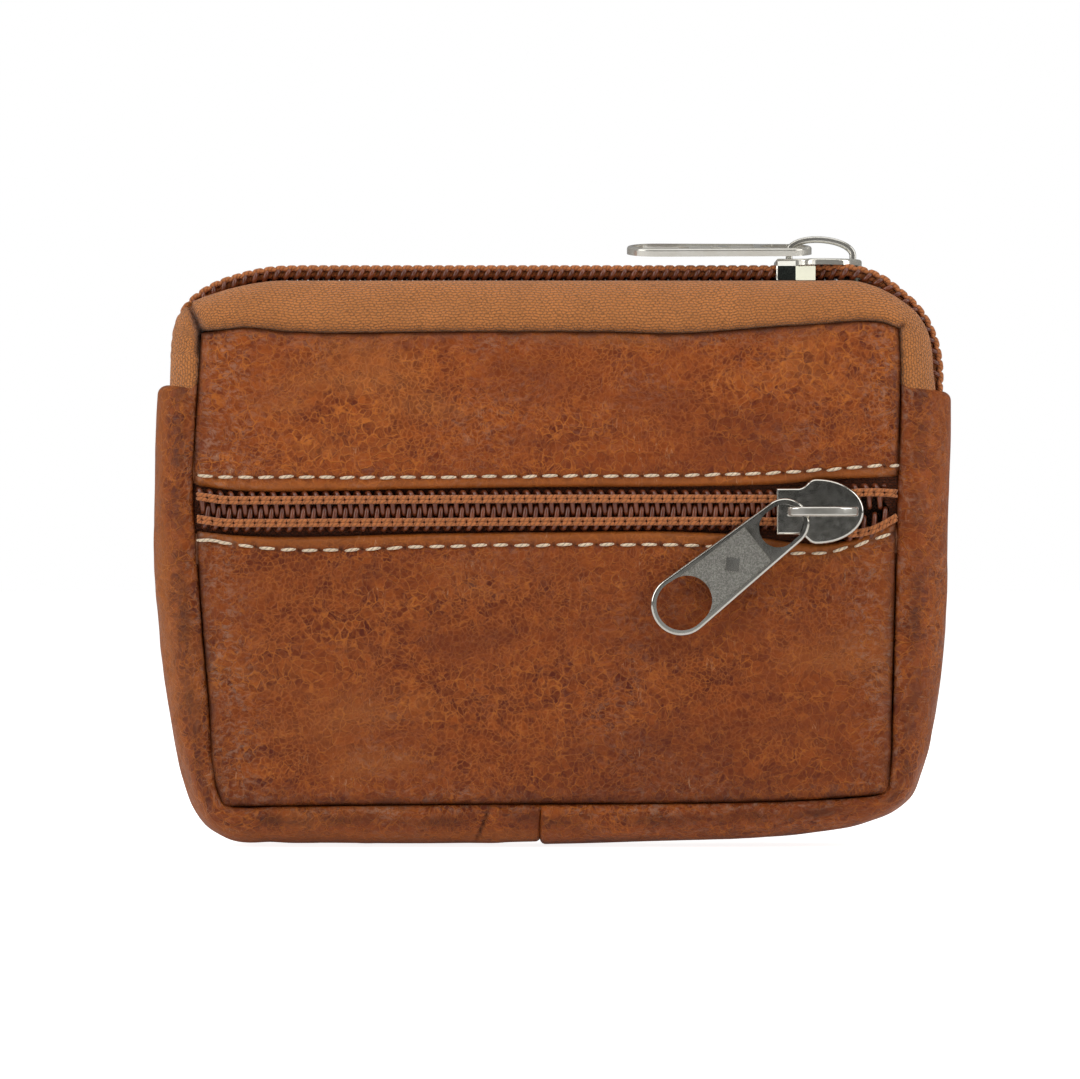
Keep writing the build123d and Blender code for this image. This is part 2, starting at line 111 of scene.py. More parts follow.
def field(x, z, size, seed, waves=18):
    """A smooth random field of about -1 to 1, whose bumps are about size across."""
    r = np.random.default_rng(seed)
    total = np.zeros(np.broadcast(x, z).shape)
    for _ in range(waves):
        angle = r.uniform(0, math.tau)
        k = math.tau / (size * r.uniform(1.2, 3.2))
        total += np.sin(k * (x * math.cos(angle) + z * math.sin(angle)) + r.uniform(0, math.tau))
    return total / math.sqrt(waves)


def smooth(t):
    t = np.clip(t, 0, 1)
    return t * t * (3 - 2 * t)


# ---------------------------------------------------------------- outline of the pouch

SEAM_LEFT = curve([(5.4, -45.6), (8, -46.5), (20.4, -47.6), (39.7, -49.1), (52.1, -49.7),
                   (61.8, -49.2), (68, -48.8), (73, -48.5)])
SEAM_RIGHT = curve([(5.4, 46.2), (8, 46.5), (20.4, 46.9), (39.7, 47.4), (52.1, 47.7),
                    (62, 48.0), (69, 48.0), (73, 47.7)])
SEAM_TOP = curve([(-50, 70.9), (-45.7, 71.5), (-42.4, 71.8), (-38, 71.3), (-33.6, 71.1),
                  (-15, 71.2), (6.5, 71.2), (18.2, 71.0), (25.5, 71.5), (30.2, 71.9),
                  (38.1, 72.4), (43, 72.7), (46, 72.4), (48, 71.6)])
SEAM_BOTTOM = curve([(-48, 5.6), (-40, 5.7), (-20, 5.9), (0, 6.0), (20, 6.1), (35, 6.5),
                     (43, 7.0), (48, 7.4)])
EDGE_UPPER = curve([(-50, 50.6), (-48, 50.0), (-43, 49.3), (-33, 49.2), (-20, 49.5),
                    (0, 49.8), (19, 49.9), (31, 50.2), (38, 50.8), (44, 51.1), (48, 51.3)])
EDGE_LOWER = curve([(-50, 43.9), (-47, 43.5), (-43, 43.1), (-36, 42.9), (-30, 43.0),
                    (-20, 43.3), (0, 43.6), (19, 43.6), (27, 43.1), (33, 42.2), (38, 42.0),
                    (41.5, 42.6), (44.5, 43.9), (48, 45.4)])
STITCH_UPPER = curve([(-50, 51.7), (-48, 51.3), (-43, 51.2), (-33, 51.15), (-20, 51.15),
                      (0, 51.3), (19, 51.4), (27, 51.6), (38, 52.2), (43, 52.6), (48, 52.8)])
STITCH_LOWER = curve([(-50, 42.6), (-47, 42.3), (-43, 41.8), (-36.5, 41.1), (-30, 41.1),
                      (-20, 41.5), (0, 41.8), (19, 41.7), (27, 41.3), (33, 40.7), (38, 40.8),
                      (41, 41.5), (44, 42.5), (48, 43.8)])

# Seam point (x, z) and outermost point (x, z) of each leather side strip, from its top down.
STRIP_LEFT = [
    (-49.1, 62.8, -54.6, 62.8), (-49.4, 57.5, -54.9, 57.0), (-49.7, 52.1, -55.0, 50.5),
    (-49.6, 46.0, -55.1, 45.0), (-49.1, 39.7, -55.0, 39.0), (-48.4, 29.5, -54.3, 28.9),
    (-47.5, 19.5, -52.9, 18.0), (-46.8, 11.5, -51.2, 9.6), (-46.2, 7.6, -49.5, 5.0),
    (-45.4, 6.0, -47.7, 2.5), (-43.6, 5.6, -45.1, 0.9), (-38, 5.7, -38.6, 0.35),
    (-28, 5.8, -28.2, 0.15), (-18, 5.9, -18, 0.1), (-9, 6.0, -9, 0.2), (-2.45, 6.0, -2.45, 0.35),
]
STRIP_RIGHT = [
    (48.0, 62.8, 55.0, 61.9), (47.9, 57.5, 55.0, 56.5), (47.7, 52.1, 54.8, 51.0),
    (47.5, 46.0, 54.6, 45.0), (47.4, 39.7, 54.5, 39.0), (47.15, 28.5, 54.1, 28.0),
    (46.9, 17.5, 52.6, 16.8), (46.6, 11.0, 50.9, 10.0), (46.1, 8.4, 49.4, 6.6),
    (44.9, 7.3, 47.0, 4.6), (42.5, 6.95, 43.4, 3.1), (35, 6.5, 35.2, 1.5),
    (24, 6.2, 24.1, 0.75), (12, 6.1, 12, 0.35), (4, 6.0, 4, 0.1), (-0.98, 6.0, -0.98, 0.0),
]

# Seam (x, z), fold (x, z) and chain (x, z) of the main zip's tape, from its left end over.
TAPE_PATH = [
    (-49.1, 62.6, -52.9, 62.6, -50.7, 62.6), (-48.9, 66.0, -52.8, 66.3, -50.6, 66.3),
    (-48.8, 69.0, -52.6, 70.0, -50.5, 69.6), (-48.7, 70.4, -52.2, 72.4, -50.1, 72.0),
    (-48.6, 71.0, -51.3, 74.2, -49.2, 73.9), (-48.3, 71.3, -49.6, 75.6, -47.7, 75.3),
    (-47.6, 71.4, -46.8, 76.7, -45.6, 76.5), (-45.7, 71.5, -43.3, 77.7, -42.7, 77.5),
    (-42.4, 71.8, -39.1, 78.4, -39.0, 78.3), (-37.9, 71.3, -34.7, 78.5, -34.7, 78.5),
    (-33.6, 71.1, -31, 78.5, -31, 78.5), (-24, 71.1, -23, 78.5, -23, 78.5),
    (-15, 71.2, -14, 78.5, -14, 78.5), (-4, 71.2, -4, 78.5, -4, 78.5),
    (6.5, 71.2, 6.5, 78.5, 6.5, 78.5), (18.2, 71.0, 18.2, 78.5, 18.2, 78.5),
    (25.5, 71.5, 25.5, 78.5, 25.5, 78.5), (30.2, 71.9, 31, 78.5, 31, 78.5),
    (36, 72.2, 37, 78.5, 37, 78.5), (40, 72.5, 41.6, 78.45, 41.5, 78.45),
    (43.6, 72.7, 45.0, 77.5, 44.6, 77.3), (46, 72.4, 47.9, 75.9, 46.8, 75.6),
    (47.3, 71.8, 50.2, 74.0, 48.7, 73.9), (47.8, 70.8, 51.7, 71.5, 50.2, 71.7),
    (47.9, 69.0, 52.3, 68.9, 51.1, 69.3), (48.0, 66.0, 52.5, 66.0, 51.6, 66.2),
    (48.1, 62.6, 52.9, 62.6, 51.5, 62.7),
]


# ---------------------------------------------------------------- mesh helpers

def new_object(name, points, faces, attributes=None, sharp=50):
    """A mesh from points in millimetres, with its faces turned outward."""
    mesh = bpy.data.meshes.new(name)
    mesh.from_pydata(((np.asarray(points) + TO_FRAME) * MM).tolist(), [], np.asarray(faces).tolist())
    for key, values in (attributes or {}).items():
        values = np.asarray(values, np.float32)
        kind = "FLOAT_VECTOR" if values.ndim == 2 else "FLOAT"
        layer = mesh.attributes.new(key, kind, "POINT")
        layer.data.foreach_set("vector" if values.ndim == 2 else "value", values.ravel())
    mesh.polygons.foreach_set("use_smooth", [True] * len(mesh.polygons))
    mesh.update()
    mesh.set_sharp_from_angle(angle=math.radians(sharp))
    obj = bpy.data.objects.new(name, mesh)
    bpy.context.scene.collection.objects.link(obj)
    return obj


def grid_faces(rows, columns, start=0, flip=False):
    i, j = np.meshgrid(np.arange(rows - 1), np.arange(columns - 1), indexing="ij")
    a = start + i * columns + j
    quads = np.stack([a, a + 1, a + columns + 1, a + columns], -1).reshape(-1, 4)
    return quads[:, ::-1] if flip else quads


def grid_normals(grid):
    across = np.gradient(grid, axis=1)
    along = np.gradient(grid, axis=0)
    normal = np.cross(across, along)
    length = np.linalg.norm(normal, axis=2, keepdims=True)
    return normal / np.maximum(length, 1e-9)


def sheet(name, grid, texture, thickness, extra=None, toward=None, sharp=50):
    """A closed sheet: the grid is its outer face, and it is thickness thick on the inside.

    toward is a point inside, which tells the inner side from the outer one."""
    rows, columns = grid.shape[:2]
    normal = grid_normals(grid)
    middle = grid[rows // 2, columns // 2]
    inward = np.array(toward if toward is not None else (0, 0, 38), float) - middle
    flip = float(normal[rows // 2, columns // 2] @ inward) > 0
    if flip:
        normal = -normal
    inner = grid - normal * thickness
    count = rows * columns
    points = np.concatenate([grid.reshape(-1, 3), inner.reshape(-1, 3)])
    faces = [grid_faces(rows, columns, 0, not flip), grid_faces(rows, columns, count, flip)]
    index = np.arange(count).reshape(rows, columns)
    rim = np.concatenate([index[0, :], index[1:, -1], index[-1, -2::-1], index[-2:0:-1, 0]])
    after = np.roll(rim, -1)
    wall = np.stack([rim, after, after + count, rim + count], 1)
    faces.append(wall if flip else wall[:, ::-1])
    attributes = {"tex": np.tile(texture.reshape(-1, 3), (2, 1))}
    for key, values in (extra or {}).items():
        attributes[key] = np.tile(np.broadcast_to(values, (rows, columns)).ravel(), 2)
    return new_object(name, points, np.concatenate(faces), attributes, sharp)


def tubes(name, lines, radius, sides=8, flat=1.0, up=None):
    """Round cords along lines of points; radius is a number or a list, one item for each line."""
    points, faces, texture = [], [], []
    base = 0
    turn = np.linspace(0, math.tau, sides, endpoint=False)
    for number, line in enumerate(lines):
        line = np.asarray(line, float)
        tangent = np.gradient(line, axis=0)
        tangent /= np.maximum(np.linalg.norm(tangent, axis=1, keepdims=True), 1e-9)
        first = np.array(up if up is not None else (0.31, 0.2, 0.93), float)
        side = np.empty_like(line)
        reference = first - (first @ tangent[0]) * tangent[0]
        for k in range(len(line)):
            if up is not None:
                reference = first
            reference = reference - (reference @ tangent[k]) * tangent[k]
            reference = reference / max(np.linalg.norm(reference), 1e-9)
            side[k] = reference
        other = np.cross(tangent, side)
        here = radius[number] if isinstance(radius, list) else radius
        r = np.broadcast_to(here, len(line))[:, None, None]
        ring = (line[:, None, :] + r * flat * np.cos(turn)[None, :, None] * side[:, None, :]
                + r * np.sin(turn)[None, :, None] * other[:, None, :])
        rows = len(line)
        length = np.r_[0, np.cumsum(np.linalg.norm(np.diff(line, axis=0), axis=1))]
        points.append(ring.reshape(-1, 3))
        coordinates = np.zeros((rows, sides, 3))
        coordinates[..., 0] = length[:, None]
        coordinates[..., 1] = turn[None, :] / math.tau
        coordinates[..., 2] = line[:, 0][:, None]
        texture.append(coordinates.reshape(-1, 3))
        i, j = np.meshgrid(np.arange(rows - 1), np.arange(sides), indexing="ij")
        a = base + i * sides + j
        b = base + i * sides + (j + 1) % sides
        faces += np.stack([a, b, b + sides, a + sides], -1).reshape(-1, 4).tolist()
        ends = [base + k for k in range(sides)]
        faces.append(ends[::-1])
        faces.append([base + (rows - 1) * sides + k for k in range(sides)])
        base += rows * sides
    mesh = bpy.data.meshes.new(name)
    mesh.from_pydata(((np.concatenate(points) + TO_FRAME) * MM).tolist(), [], faces)
    layer = mesh.attributes.new("tex", "FLOAT_VECTOR", "POINT")
    layer.data.foreach_set("vector", np.concatenate(texture).astype(np.float32).ravel())
    mesh.polygons.foreach_set("use_smooth", [True] * len(mesh.polygons))
    mesh.update()
    obj = bpy.data.objects.new(name, mesh)
    bpy.context.scene.collection.objects.link(obj)
    return obj


def steps(start, end, step, fine=0.12):
    """Positions from start to end, close together near both ends."""
    ramp = [0.0]
    while ramp[-1] < 2.2:
        ramp.append(ramp[-1] + min(step, fine * 1.35 ** len(ramp)))
    low = [start + d for d in ramp]
    high = [end - d for d in reversed(ramp)]
    count = max(2, int(round((high[0] - low[-1]) / step)))
    return np.r_[low[:-1], np.linspace(low[-1], high[0], count + 1), high[1:]]


# ---------------------------------------------------------------- materials

def rgb(r, g, b):
    """Linear colour from 0 to 255 display values."""
    out = []
    for c in (r, g, b):
        c /= 255
        out.append(c / 12.92 if c <= 0.04045 else ((c + 0.055) / 1.055) ** 2.4)
    return (*out, 1.0)


class Nodes:
    """A small builder for node materials."""

    def __init__(self, name):
        self.material = bpy.data.materials.new(name)
        self.material.use_nodes = True
        self.tree = self.material.node_tree
        self.tree.nodes.clear()
        self.out = self.tree.nodes.new("ShaderNodeOutputMaterial")
        self.bsdf = self.tree.nodes.new("ShaderNodeBsdfPrincipled")
        self.tree.links.new(self.bsdf.outputs[0], self.out.inputs[0])

    def put(self, socket, value):
        if isinstance(value, bpy.types.NodeSocket):
            self.tree.links.new(value, socket)
        else:
            socket.default_value = value

    def node(self, kind, inputs=(), output=0, **settings):
        node = self.tree.nodes.new(kind)
        for key, value in settings.items():
            setattr(node, key, value)
        for key, value in (inputs.items() if isinstance(inputs, dict) else enumerate(inputs)):
            if value is not None:
                self.put(node.inputs[key], value)
        return node.outputs[output]

    def attribute(self, name, output="Vector"):
        return self.node("ShaderNodeAttribute", attribute_name=name, output=output)

    def math(self, operation, a, b=0.0, c=0.0, clamp=False):
        return self.node("ShaderNodeMath", (a, b, c), operation=operation, use_clamp=clamp)

    def vector(self, operation, a, b):
        return self.node("ShaderNodeVectorMath", (a, b), operation=operation)

    def ramp(self, value, low, high, to_low=0.0, to_high=1.0):
        return self.node("ShaderNodeMapRange", (value, low, high, to_low, to_high),
                         interpolation_type="SMOOTHSTEP", clamp=True)

    def mix(self, share, a, b, blend="MIX"):
        node = self.tree.nodes.new("ShaderNodeMix")
        node.data_type = "RGBA"
        node.blend_type = blend
        self.put(node.inputs[0], share)
        self.put(node.inputs[6], a)
        self.put(node.inputs[7], b)
        return node.outputs[2]

    def noise(self, at, scale, detail=2.0, roughness=0.5, distortion=0.0, output=0):
        return self.node("ShaderNodeTexNoise", {
            "Vector": at, "Scale": scale, "Detail": detail, "Roughness": roughness,
            "Distortion": distortion}, output)

    def cells(self, at, scale, feature="DISTANCE_TO_EDGE", randomness=1.0, output=0):
        return self.node("ShaderNodeTexVoronoi", {
            "Vector": at, "Scale": scale, "Randomness": randomness}, output, feature=feature)

    def bump(self, height, distance, strength=1.0, normal=None):
        return self.node("ShaderNodeBump", {
            "Strength": strength, "Distance": distance, "Height": height, "Normal": normal})

    def finish(self, **values):
        for key, value in values.items():
            self.put(self.bsdf.inputs[key.replace("_", " ")], value)
        return self.material


def leather_material(name, seed, tone=1.0):
    """Waxed leather, from the attributes tex, plain (smooth skin), edge (glossier, with a painted greyish sheen) and
    shade (painted shade).
    """
    n = Nodes(name)
    at = n.vector("ADD", n.attribute("tex"), (seed * 37.0, seed * 11.0, seed * 5.0))
    wander = n.vector("SUBTRACT", n.noise(at, 0.16, 3.0, 0.55, output=1), (0.5, 0.5, 0.5))
    wiggle = n.vector("SUBTRACT", n.noise(at, 1.1, 3.0, 0.55, output=1), (0.5, 0.5, 0.5))
    bent = n.vector("ADD", at, n.vector("MULTIPLY", wander, (3.0, 3.0, 3.0)))
    bent = n.vector("ADD", bent, n.vector("MULTIPLY", wiggle, (0.55, 0.55, 0.55)))
    plain = n.attribute("plain", "Fac")
    rough_skin = n.math("SUBTRACT", 1.0, n.math("MULTIPLY", plain, 0.8))
    # Pebbles of two sizes: each is a dark island in a net of lighter, worn skin.
    veins, tints = [], []
    for size, width in ((0.78, 0.105), (1.42, 0.15)):
        veins.append(n.ramp(n.cells(bent, size), width, 0.0))
        tints.append(n.node("ShaderNodeSeparateXYZ", (n.cells(bent, size, "F1", output=1),)))
    which = n.ramp(n.noise(n.vector("ADD", at, (9.0, 70.0, 3.0)), 0.08, 3.0, 0.6), 0.42, 0.58)
    vein = n.math("ADD", n.math("MULTIPLY", veins[0], n.math("MULTIPLY_ADD", which, 0.8, 0.2)),
                  n.math("MULTIPLY", veins[1], n.math("MULTIPLY_ADD", which, -0.5, 0.8)), clamp=True)
    clear = n.ramp(n.noise(at, 0.5, 4.0, 0.65), 0.36, 0.62, 0.35, 1.0)
    vein = n.math("MULTIPLY", vein, clear)
    tint = n.math("ADD", n.math("MULTIPLY", tints[0], 0.5), n.math("MULTIPLY", tints[1], 0.5))
    cloud = n.noise(at, 0.30, 5.0, 0.68)
    tint = n.math("ADD", n.math("MULTIPLY", tint, 1.1), n.math("MULTIPLY_ADD", cloud, 1.1, -0.62), clamp=True)
    island = n.mix(tint, rgb(92, 28, 0), rgb(162, 78, 18))
    # The middle of each pebble is darkest.
    hollow = n.math("MULTIPLY", n.ramp(n.cells(bent, 1.42), 0.10, 0.38, 0.0, 0.45), n.math("SUBTRACT", 1.0, which))
    island = n.mix(n.math("MULTIPLY", hollow, rough_skin), island, rgb(84, 22, 0))
    # In long slanting patches the skin is smoother, or lighter and glossier.
    slanted = n.node("ShaderNodeMapping", {"Vector": at, "Rotation": (0, 0, -0.5), "Scale": (0.5, 1.3, 1.0)})
    calm = n.ramp(n.noise(slanted, 0.085, 3.0, 0.55), 0.42, 0.62, 0.0, 0.50)
    light = n.noise(n.vector("ADD", slanted, (17.0, 5.0, 2.0)), 0.06, 3.0, 0.6)
    detail = n.math("SUBTRACT", 1.0, calm)
    island = n.mix(calm, island, rgb(140, 62, 12))
    skin = n.mix(n.math("MULTIPLY", n.math("MULTIPLY", vein, n.math("MULTIPLY_ADD", calm, -0.55, 0.85)), 1.0),
                 island, rgb(194, 108, 36))
    fleck = n.noise(bent, 2.4, 5.0, 0.75)
    skin = n.mix(n.math("MULTIPLY", n.ramp(fleck, 0.52, 0.70, 0.0, 0.42), detail), skin, rgb(98, 32, 2))
    skin = n.mix(n.ramp(fleck, 0.47, 0.30, 0.0, 0.32), skin, rgb(192, 108, 42))
    # The lighter colour of the shine patches is a painted sheen; they are glossier as well.
    shine = n.ramp(light, 0.50, 0.72, 0.0, 0.26)
    skin = n.mix(shine, skin, rgb(196, 122, 62))
    skin = n.mix(n.ramp(light, 0.48, 0.30, 0.0, 0.45), skin, rgb(104, 40, 6))
    skin = n.mix(n.math("MULTIPLY", plain, 0.5), skin, rgb(168, 98, 42))
    # A painted greyish sheen along the seams and in patches, broken up by the pebbles.
    sheen_spots = n.ramp(n.noise(n.vector("MULTIPLY", bent, (0.8, 1.5, 1.0)), 1.0, 4.0, 0.7), 0.47, 0.66)
    sheen_spots = n.math("MULTIPLY", sheen_spots, n.math("SUBTRACT", 1.0, n.math("MULTIPLY", vein, 0.8)))
    patch = n.ramp(n.noise(n.vector("ADD", at, (50.0, 20.0, 7.0)), 0.07, 3.0, 0.6), 0.50, 0.70, 0.0, 0.5)
    edge = n.attribute("edge", "Fac")
    painted_sheen = n.math("MULTIPLY", sheen_spots, n.math("ADD", patch, n.math("MULTIPLY", edge, 0.9)), clamp=True)
    skin = n.mix(n.math("MULTIPLY", painted_sheen, 0.50), skin, rgb(176, 136, 112))
    # A few pale scratches, all leaning the same way.
    lean = n.node("ShaderNodeMapping", {"Vector": at, "Rotation": (0, 0, 0.3), "Scale": (1.9, 0.2, 1.0)})
    ridge = n.math("ABSOLUTE", n.math("SUBTRACT", n.noise(lean, 1.0, 2.0, 0.4), 0.5))
    scratch = n.math("MULTIPLY", n.ramp(ridge, 0.010, 0.0), n.ramp(n.noise(at, 0.11, 2.0), 0.54, 0.64))
    scratch = n.math("MULTIPLY", scratch, n.ramp(n.noise(at, 0.6, 1.0), 0.48, 0.60))
    skin = n.mix(n.math("MULTIPLY", scratch, 0.45), skin, rgb(214, 168, 128))
    # Painted shade from the attribute shade: seam valleys, needle holes, folds and creases.
    skin = n.mix(n.math("MULTIPLY", n.attribute("shade", "Fac"), 0.88), skin, rgb(56, 23, 6))
    if tone != 1.0:
        skin = n.mix(1.0, skin, (tone, tone, tone, 1.0), "MULTIPLY")
    relief = n.math("SUBTRACT", n.math("MULTIPLY", n.noise(at, 4.5, 3.0, 0.6), 0.25),
                    n.math("MULTIPLY", n.math("MULTIPLY", vein, rough_skin), 0.9))
    coarse = n.bump(n.noise(bent, 0.55, 4.0, 0.6), 0.0006, 0.45)
    normal = n.bump(relief, 0.00018, 0.85, coarse)
    rough = n.ramp(n.noise(at, 0.7, 4.0, 0.6), 0.3, 0.7, 0.38, 0.54)
    rough = n.math("SUBTRACT", rough, n.math("ADD", n.math("MULTIPLY", edge, 0.08), n.math("MULTIPLY", shine, 0.25)))
    return n.finish(Base_Color=skin, Roughness=rough, Normal=normal, Specular_IOR_Level=0.27)


def tape_material(name, color=(169, 109, 68)):
    """Woven tape: texture x runs along the tape and y across it."""
    n = Nodes(name)
    at = n.attribute("tex")
    parts = n.node("ShaderNodeSeparateXYZ", (at,))
    x, y = parts, parts.node.outputs[1]
    jitter = n.math("MULTIPLY", n.math("SUBTRACT", n.noise(at, 1.3, 3.0, 0.6), 0.5), 2.2)
    row = n.math("FLOOR", n.math("DIVIDE", y, 0.40))
    shift = n.math("MULTIPLY", n.math("MODULO", row, 2.0), 0.5)
    along = n.math("ADD", n.math("DIVIDE", x, 0.66), n.math("ADD", shift, jitter))
    yarn = n.math("ABSOLUTE", n.math("SINE", n.math("MULTIPLY", along, math.pi)))
    across = n.math("ABSOLUTE", n.math("SINE", n.math("MULTIPLY", n.math("DIVIDE", y, 0.40), math.pi)))
    weave = n.math("MULTIPLY", n.math("POWER", yarn, 0.6), n.math("POWER", across, 0.5))
    fuzz = n.noise(at, 4.5, 4.0, 0.75)
    weave = n.math("ADD", weave, n.math("MULTIPLY", n.math("SUBTRACT", fuzz, 0.5), 1.3))
    dark = tuple(c * 0.74 for c in color)
    light = tuple(min(255, c * 1.08) for c in color)
    skin = n.mix(n.ramp(weave, 0.08, 0.80), rgb(*dark), rgb(*light))
    skin = n.mix(n.ramp(n.noise(at, 0.25, 3.0, 0.6), 0.3, 0.7, 0.0, 0.22), skin, rgb(*dark))
    # Painted shade from the attribute shade.
    skin = n.mix(n.math("MULTIPLY", n.attribute("shade", "Fac"), 0.75), skin, rgb(70, 34, 16))
    normal = n.bump(weave, 0.00016, 0.9)
    return n.finish(Base_Color=skin, Roughness=0.86, Normal=normal, Specular_IOR_Level=0.25,
                    Sheen_Weight=0.25, Sheen_Roughness=0.5)


def coil_material():
    n = Nodes("coil_nylon")
    at = n.attribute("tex")
    skin = n.mix(n.ramp(n.noise(at, 0.8, 3.0, 0.6), 0.35, 0.7), rgb(92, 42, 21), rgb(128, 66, 36))
    normal = n.bump(n.noise(at, 2.2, 2.0), 0.00003, 0.5)
    return n.finish(Base_Color=skin, Roughness=0.30, Normal=normal, Specular_IOR_Level=0.5,
                    Coat_Weight=0.3, Coat_Roughness=0.14)


def thread_material(name, color, twist):
    """Twisted thread: texture x runs along the thread and y once around it."""
    n = Nodes(name)
    at = n.attribute("tex")
    parts = n.node("ShaderNodeSeparateXYZ", (at,))
    along, around = parts, parts.node.outputs[1]
    ply = n.math("ADD", n.math("DIVIDE", along, twist), n.math("MULTIPLY", around, 2.0))
    ridge = n.math("ABSOLUTE", n.math("SINE", n.math("MULTIPLY", ply, math.pi)))
    world = n.node("ShaderNodeTexCoord", output="Object")
    fuzz = n.noise(world, 9000.0, 2.0)
    dark = tuple(c * 0.74 for c in color)
    skin = n.mix(n.ramp(ridge, 0.05, 0.75), rgb(*dark), rgb(*color))
    skin = n.mix(n.ramp(n.noise(world, 500.0, 2.0), 0.35, 0.7, 0.0, 0.3), skin, rgb(*dark))
    normal = n.bump(n.math("ADD", ridge, n.math("MULTIPLY", fuzz, 0.4)), 0.00006, 0.8)
    return n.finish(Base_Color=skin, Roughness=0.72, Normal=normal, Specular_IOR_Level=0.3,
                    Sheen_Weight=0.2)


def lining_material():
    n = Nodes("lining_cloth")
    parts = n.node("ShaderNodeSeparateXYZ", (n.attribute("tex"),))
    x, y = parts, parts.node.outputs[1]
    warp = n.math("SINE", n.math("MULTIPLY", x, math.tau / 0.5))
    weft = n.math("SINE", n.math("MULTIPLY", y, math.tau / 0.5))
    weave = n.math("MULTIPLY", warp, weft)
    skin = n.mix(n.ramp(weave, -0.8, 0.8), rgb(66, 42, 28), rgb(104, 70, 48))
    skin = n.mix(n.ramp(n.noise(n.attribute("tex"), 0.2, 3.0), 0.35, 0.7, 0.0, 0.3), skin, rgb(52, 32, 20))
    return n.finish(Base_Color=skin, Roughness=0.8, Normal=n.bump(weave, 0.00008, 0.6))


def metal_material(name, sunk_field=None, grain=((128, 126, 120), (186, 183, 174)), wave=0.000004, metallic=1.0):
    """Polished nickel; sunk_field is a point and a normal in millimetres: the pull's middle
    plane, beside which the field that lies below the rims is left matte."""
    n = Nodes(name)
    place = n.node("ShaderNodeTexCoord", output="Object")
    at = n.vector("MULTIPLY", place, (1000.0, 1000.0, 1000.0))
    skin = n.mix(n.ramp(n.noise(at, 0.4, 3.0), 0.35, 0.7), rgb(214, 211, 203), rgb(206, 202, 192))
    smear = n.noise(at, 0.9, 4.0, 0.6)
    rough = n.ramp(smear, 0.3, 0.7, 0.09, 0.12)
    height = n.noise(at, 0.7, 1.0)
    normal = n.bump(height, wave, 1.0)
    matte = 0.0
    if sunk_field:
        point, normal = sunk_field
        offset = n.vector("SUBTRACT", at, point)
        level = n.math("ABSOLUTE", n.node("ShaderNodeVectorMath", (offset, normal),
                                          operation="DOT_PRODUCT", output=1))
        turned = n.node("ShaderNodeTexCoord", output="Normal")
        facing = n.math("ABSOLUTE", n.node("ShaderNodeVectorMath", (turned, normal),
                                           operation="DOT_PRODUCT", output=1))
        matte = n.math("MULTIPLY", n.math("LESS_THAN", level, 0.34), n.math("GREATER_THAN", facing, 0.9))
        fleck = n.noise(at, 5.5, 4.0, 0.8)
        skin = n.mix(matte, skin, n.mix(n.ramp(fleck, 0.38, 0.66), rgb(*grain[0]), rgb(*grain[1])))
        rough = n.math("ADD", rough, n.math("MULTIPLY", matte, 0.34))
        normal = n.bump(n.math("MULTIPLY", fleck, matte), 0.00004, 0.8, normal)
    return n.finish(Base_Color=skin, Metallic=metallic, Roughness=rough, Normal=normal)


def slider_material():
    """The main slider. Its flat front is polished round: it leans to the right beyond
    its middle, and turns away along its left and upper edges, so that it mirrors the
    dark room on the left and the lamps on the right, as the real one does."""
    n = Nodes("nickel_main_slider")
    place = n.node("ShaderNodeTexCoord", output="Object")
    at = n.vector("MULTIPLY", place, (1000.0, 1000.0, 1000.0))
    parts = n.node("ShaderNodeSeparateXYZ", (place,))
    x, z = parts, parts.node.outputs[2]
    turned = n.node("ShaderNodeTexCoord", output="Normal")
    front = n.math("LESS_THAN", n.node("ShaderNodeSeparateXYZ", (turned,), 1), -0.9)
    right = n.math("MULTIPLY", n.math("MAXIMUM", n.math("SUBTRACT", x, SLIDER_TURN_X), 0.0), -0.52)
    left = n.math("MULTIPLY", n.math("MINIMUM", n.math("SUBTRACT", x, SLIDER_LEFT_X), 0.0), 0.55)
    top = n.math("MULTIPLY", n.math("MAXIMUM", n.math("SUBTRACT", z, SLIDER_TOP_Z), 0.0), -0.75)
    height = n.math("ADD", right, n.math("ADD", left, top))
    low = n.math("MULTIPLY", front, n.math("LESS_THAN", z, SLIDER_TOP_Z))
    lit = n.math("MULTIPLY", low, n.math("GREATER_THAN", x, SLIDER_TURN_X))
    flat = n.math("MULTIPLY", n.math("SUBTRACT", low, lit), n.math("GREATER_THAN", x, SLIDER_LEFT_X))
    waves = n.bump(n.noise(at, 0.7, 1.0), 0.00003, 1.0)
    normal = n.bump(n.math("MULTIPLY", height, front), 1.0, 1.0, waves)
    skin = n.mix(n.ramp(n.noise(at, 0.4, 3.0), 0.35, 0.7), rgb(224, 221, 211), rgb(212, 209, 198))
    # Painted reflection: on the front, the flat middle is tinted greenish grey for the dark room it faces, and the
    # part right of it a warm grey.
    skin = n.mix(flat, skin, rgb(172, 180, 172))
    skin = n.mix(lit, skin, rgb(172, 171, 154))
    return n.finish(Base_Color=skin, Metallic=n.math("MULTIPLY_ADD", flat, 0.28, 0.72),
                    Roughness=0.11, Normal=normal)


LEATHER = {name: leather_material("leather_" + name, seed, tone) for name, seed, tone in (
    ("upper", 1, 1.06), ("lower", 2, 0.90), ("back", 3, 0.97), ("left", 4, 0.96), ("right", 5, 1.02))}
TAPE = tape_material("zip_tape_weave", (200, 126, 66))
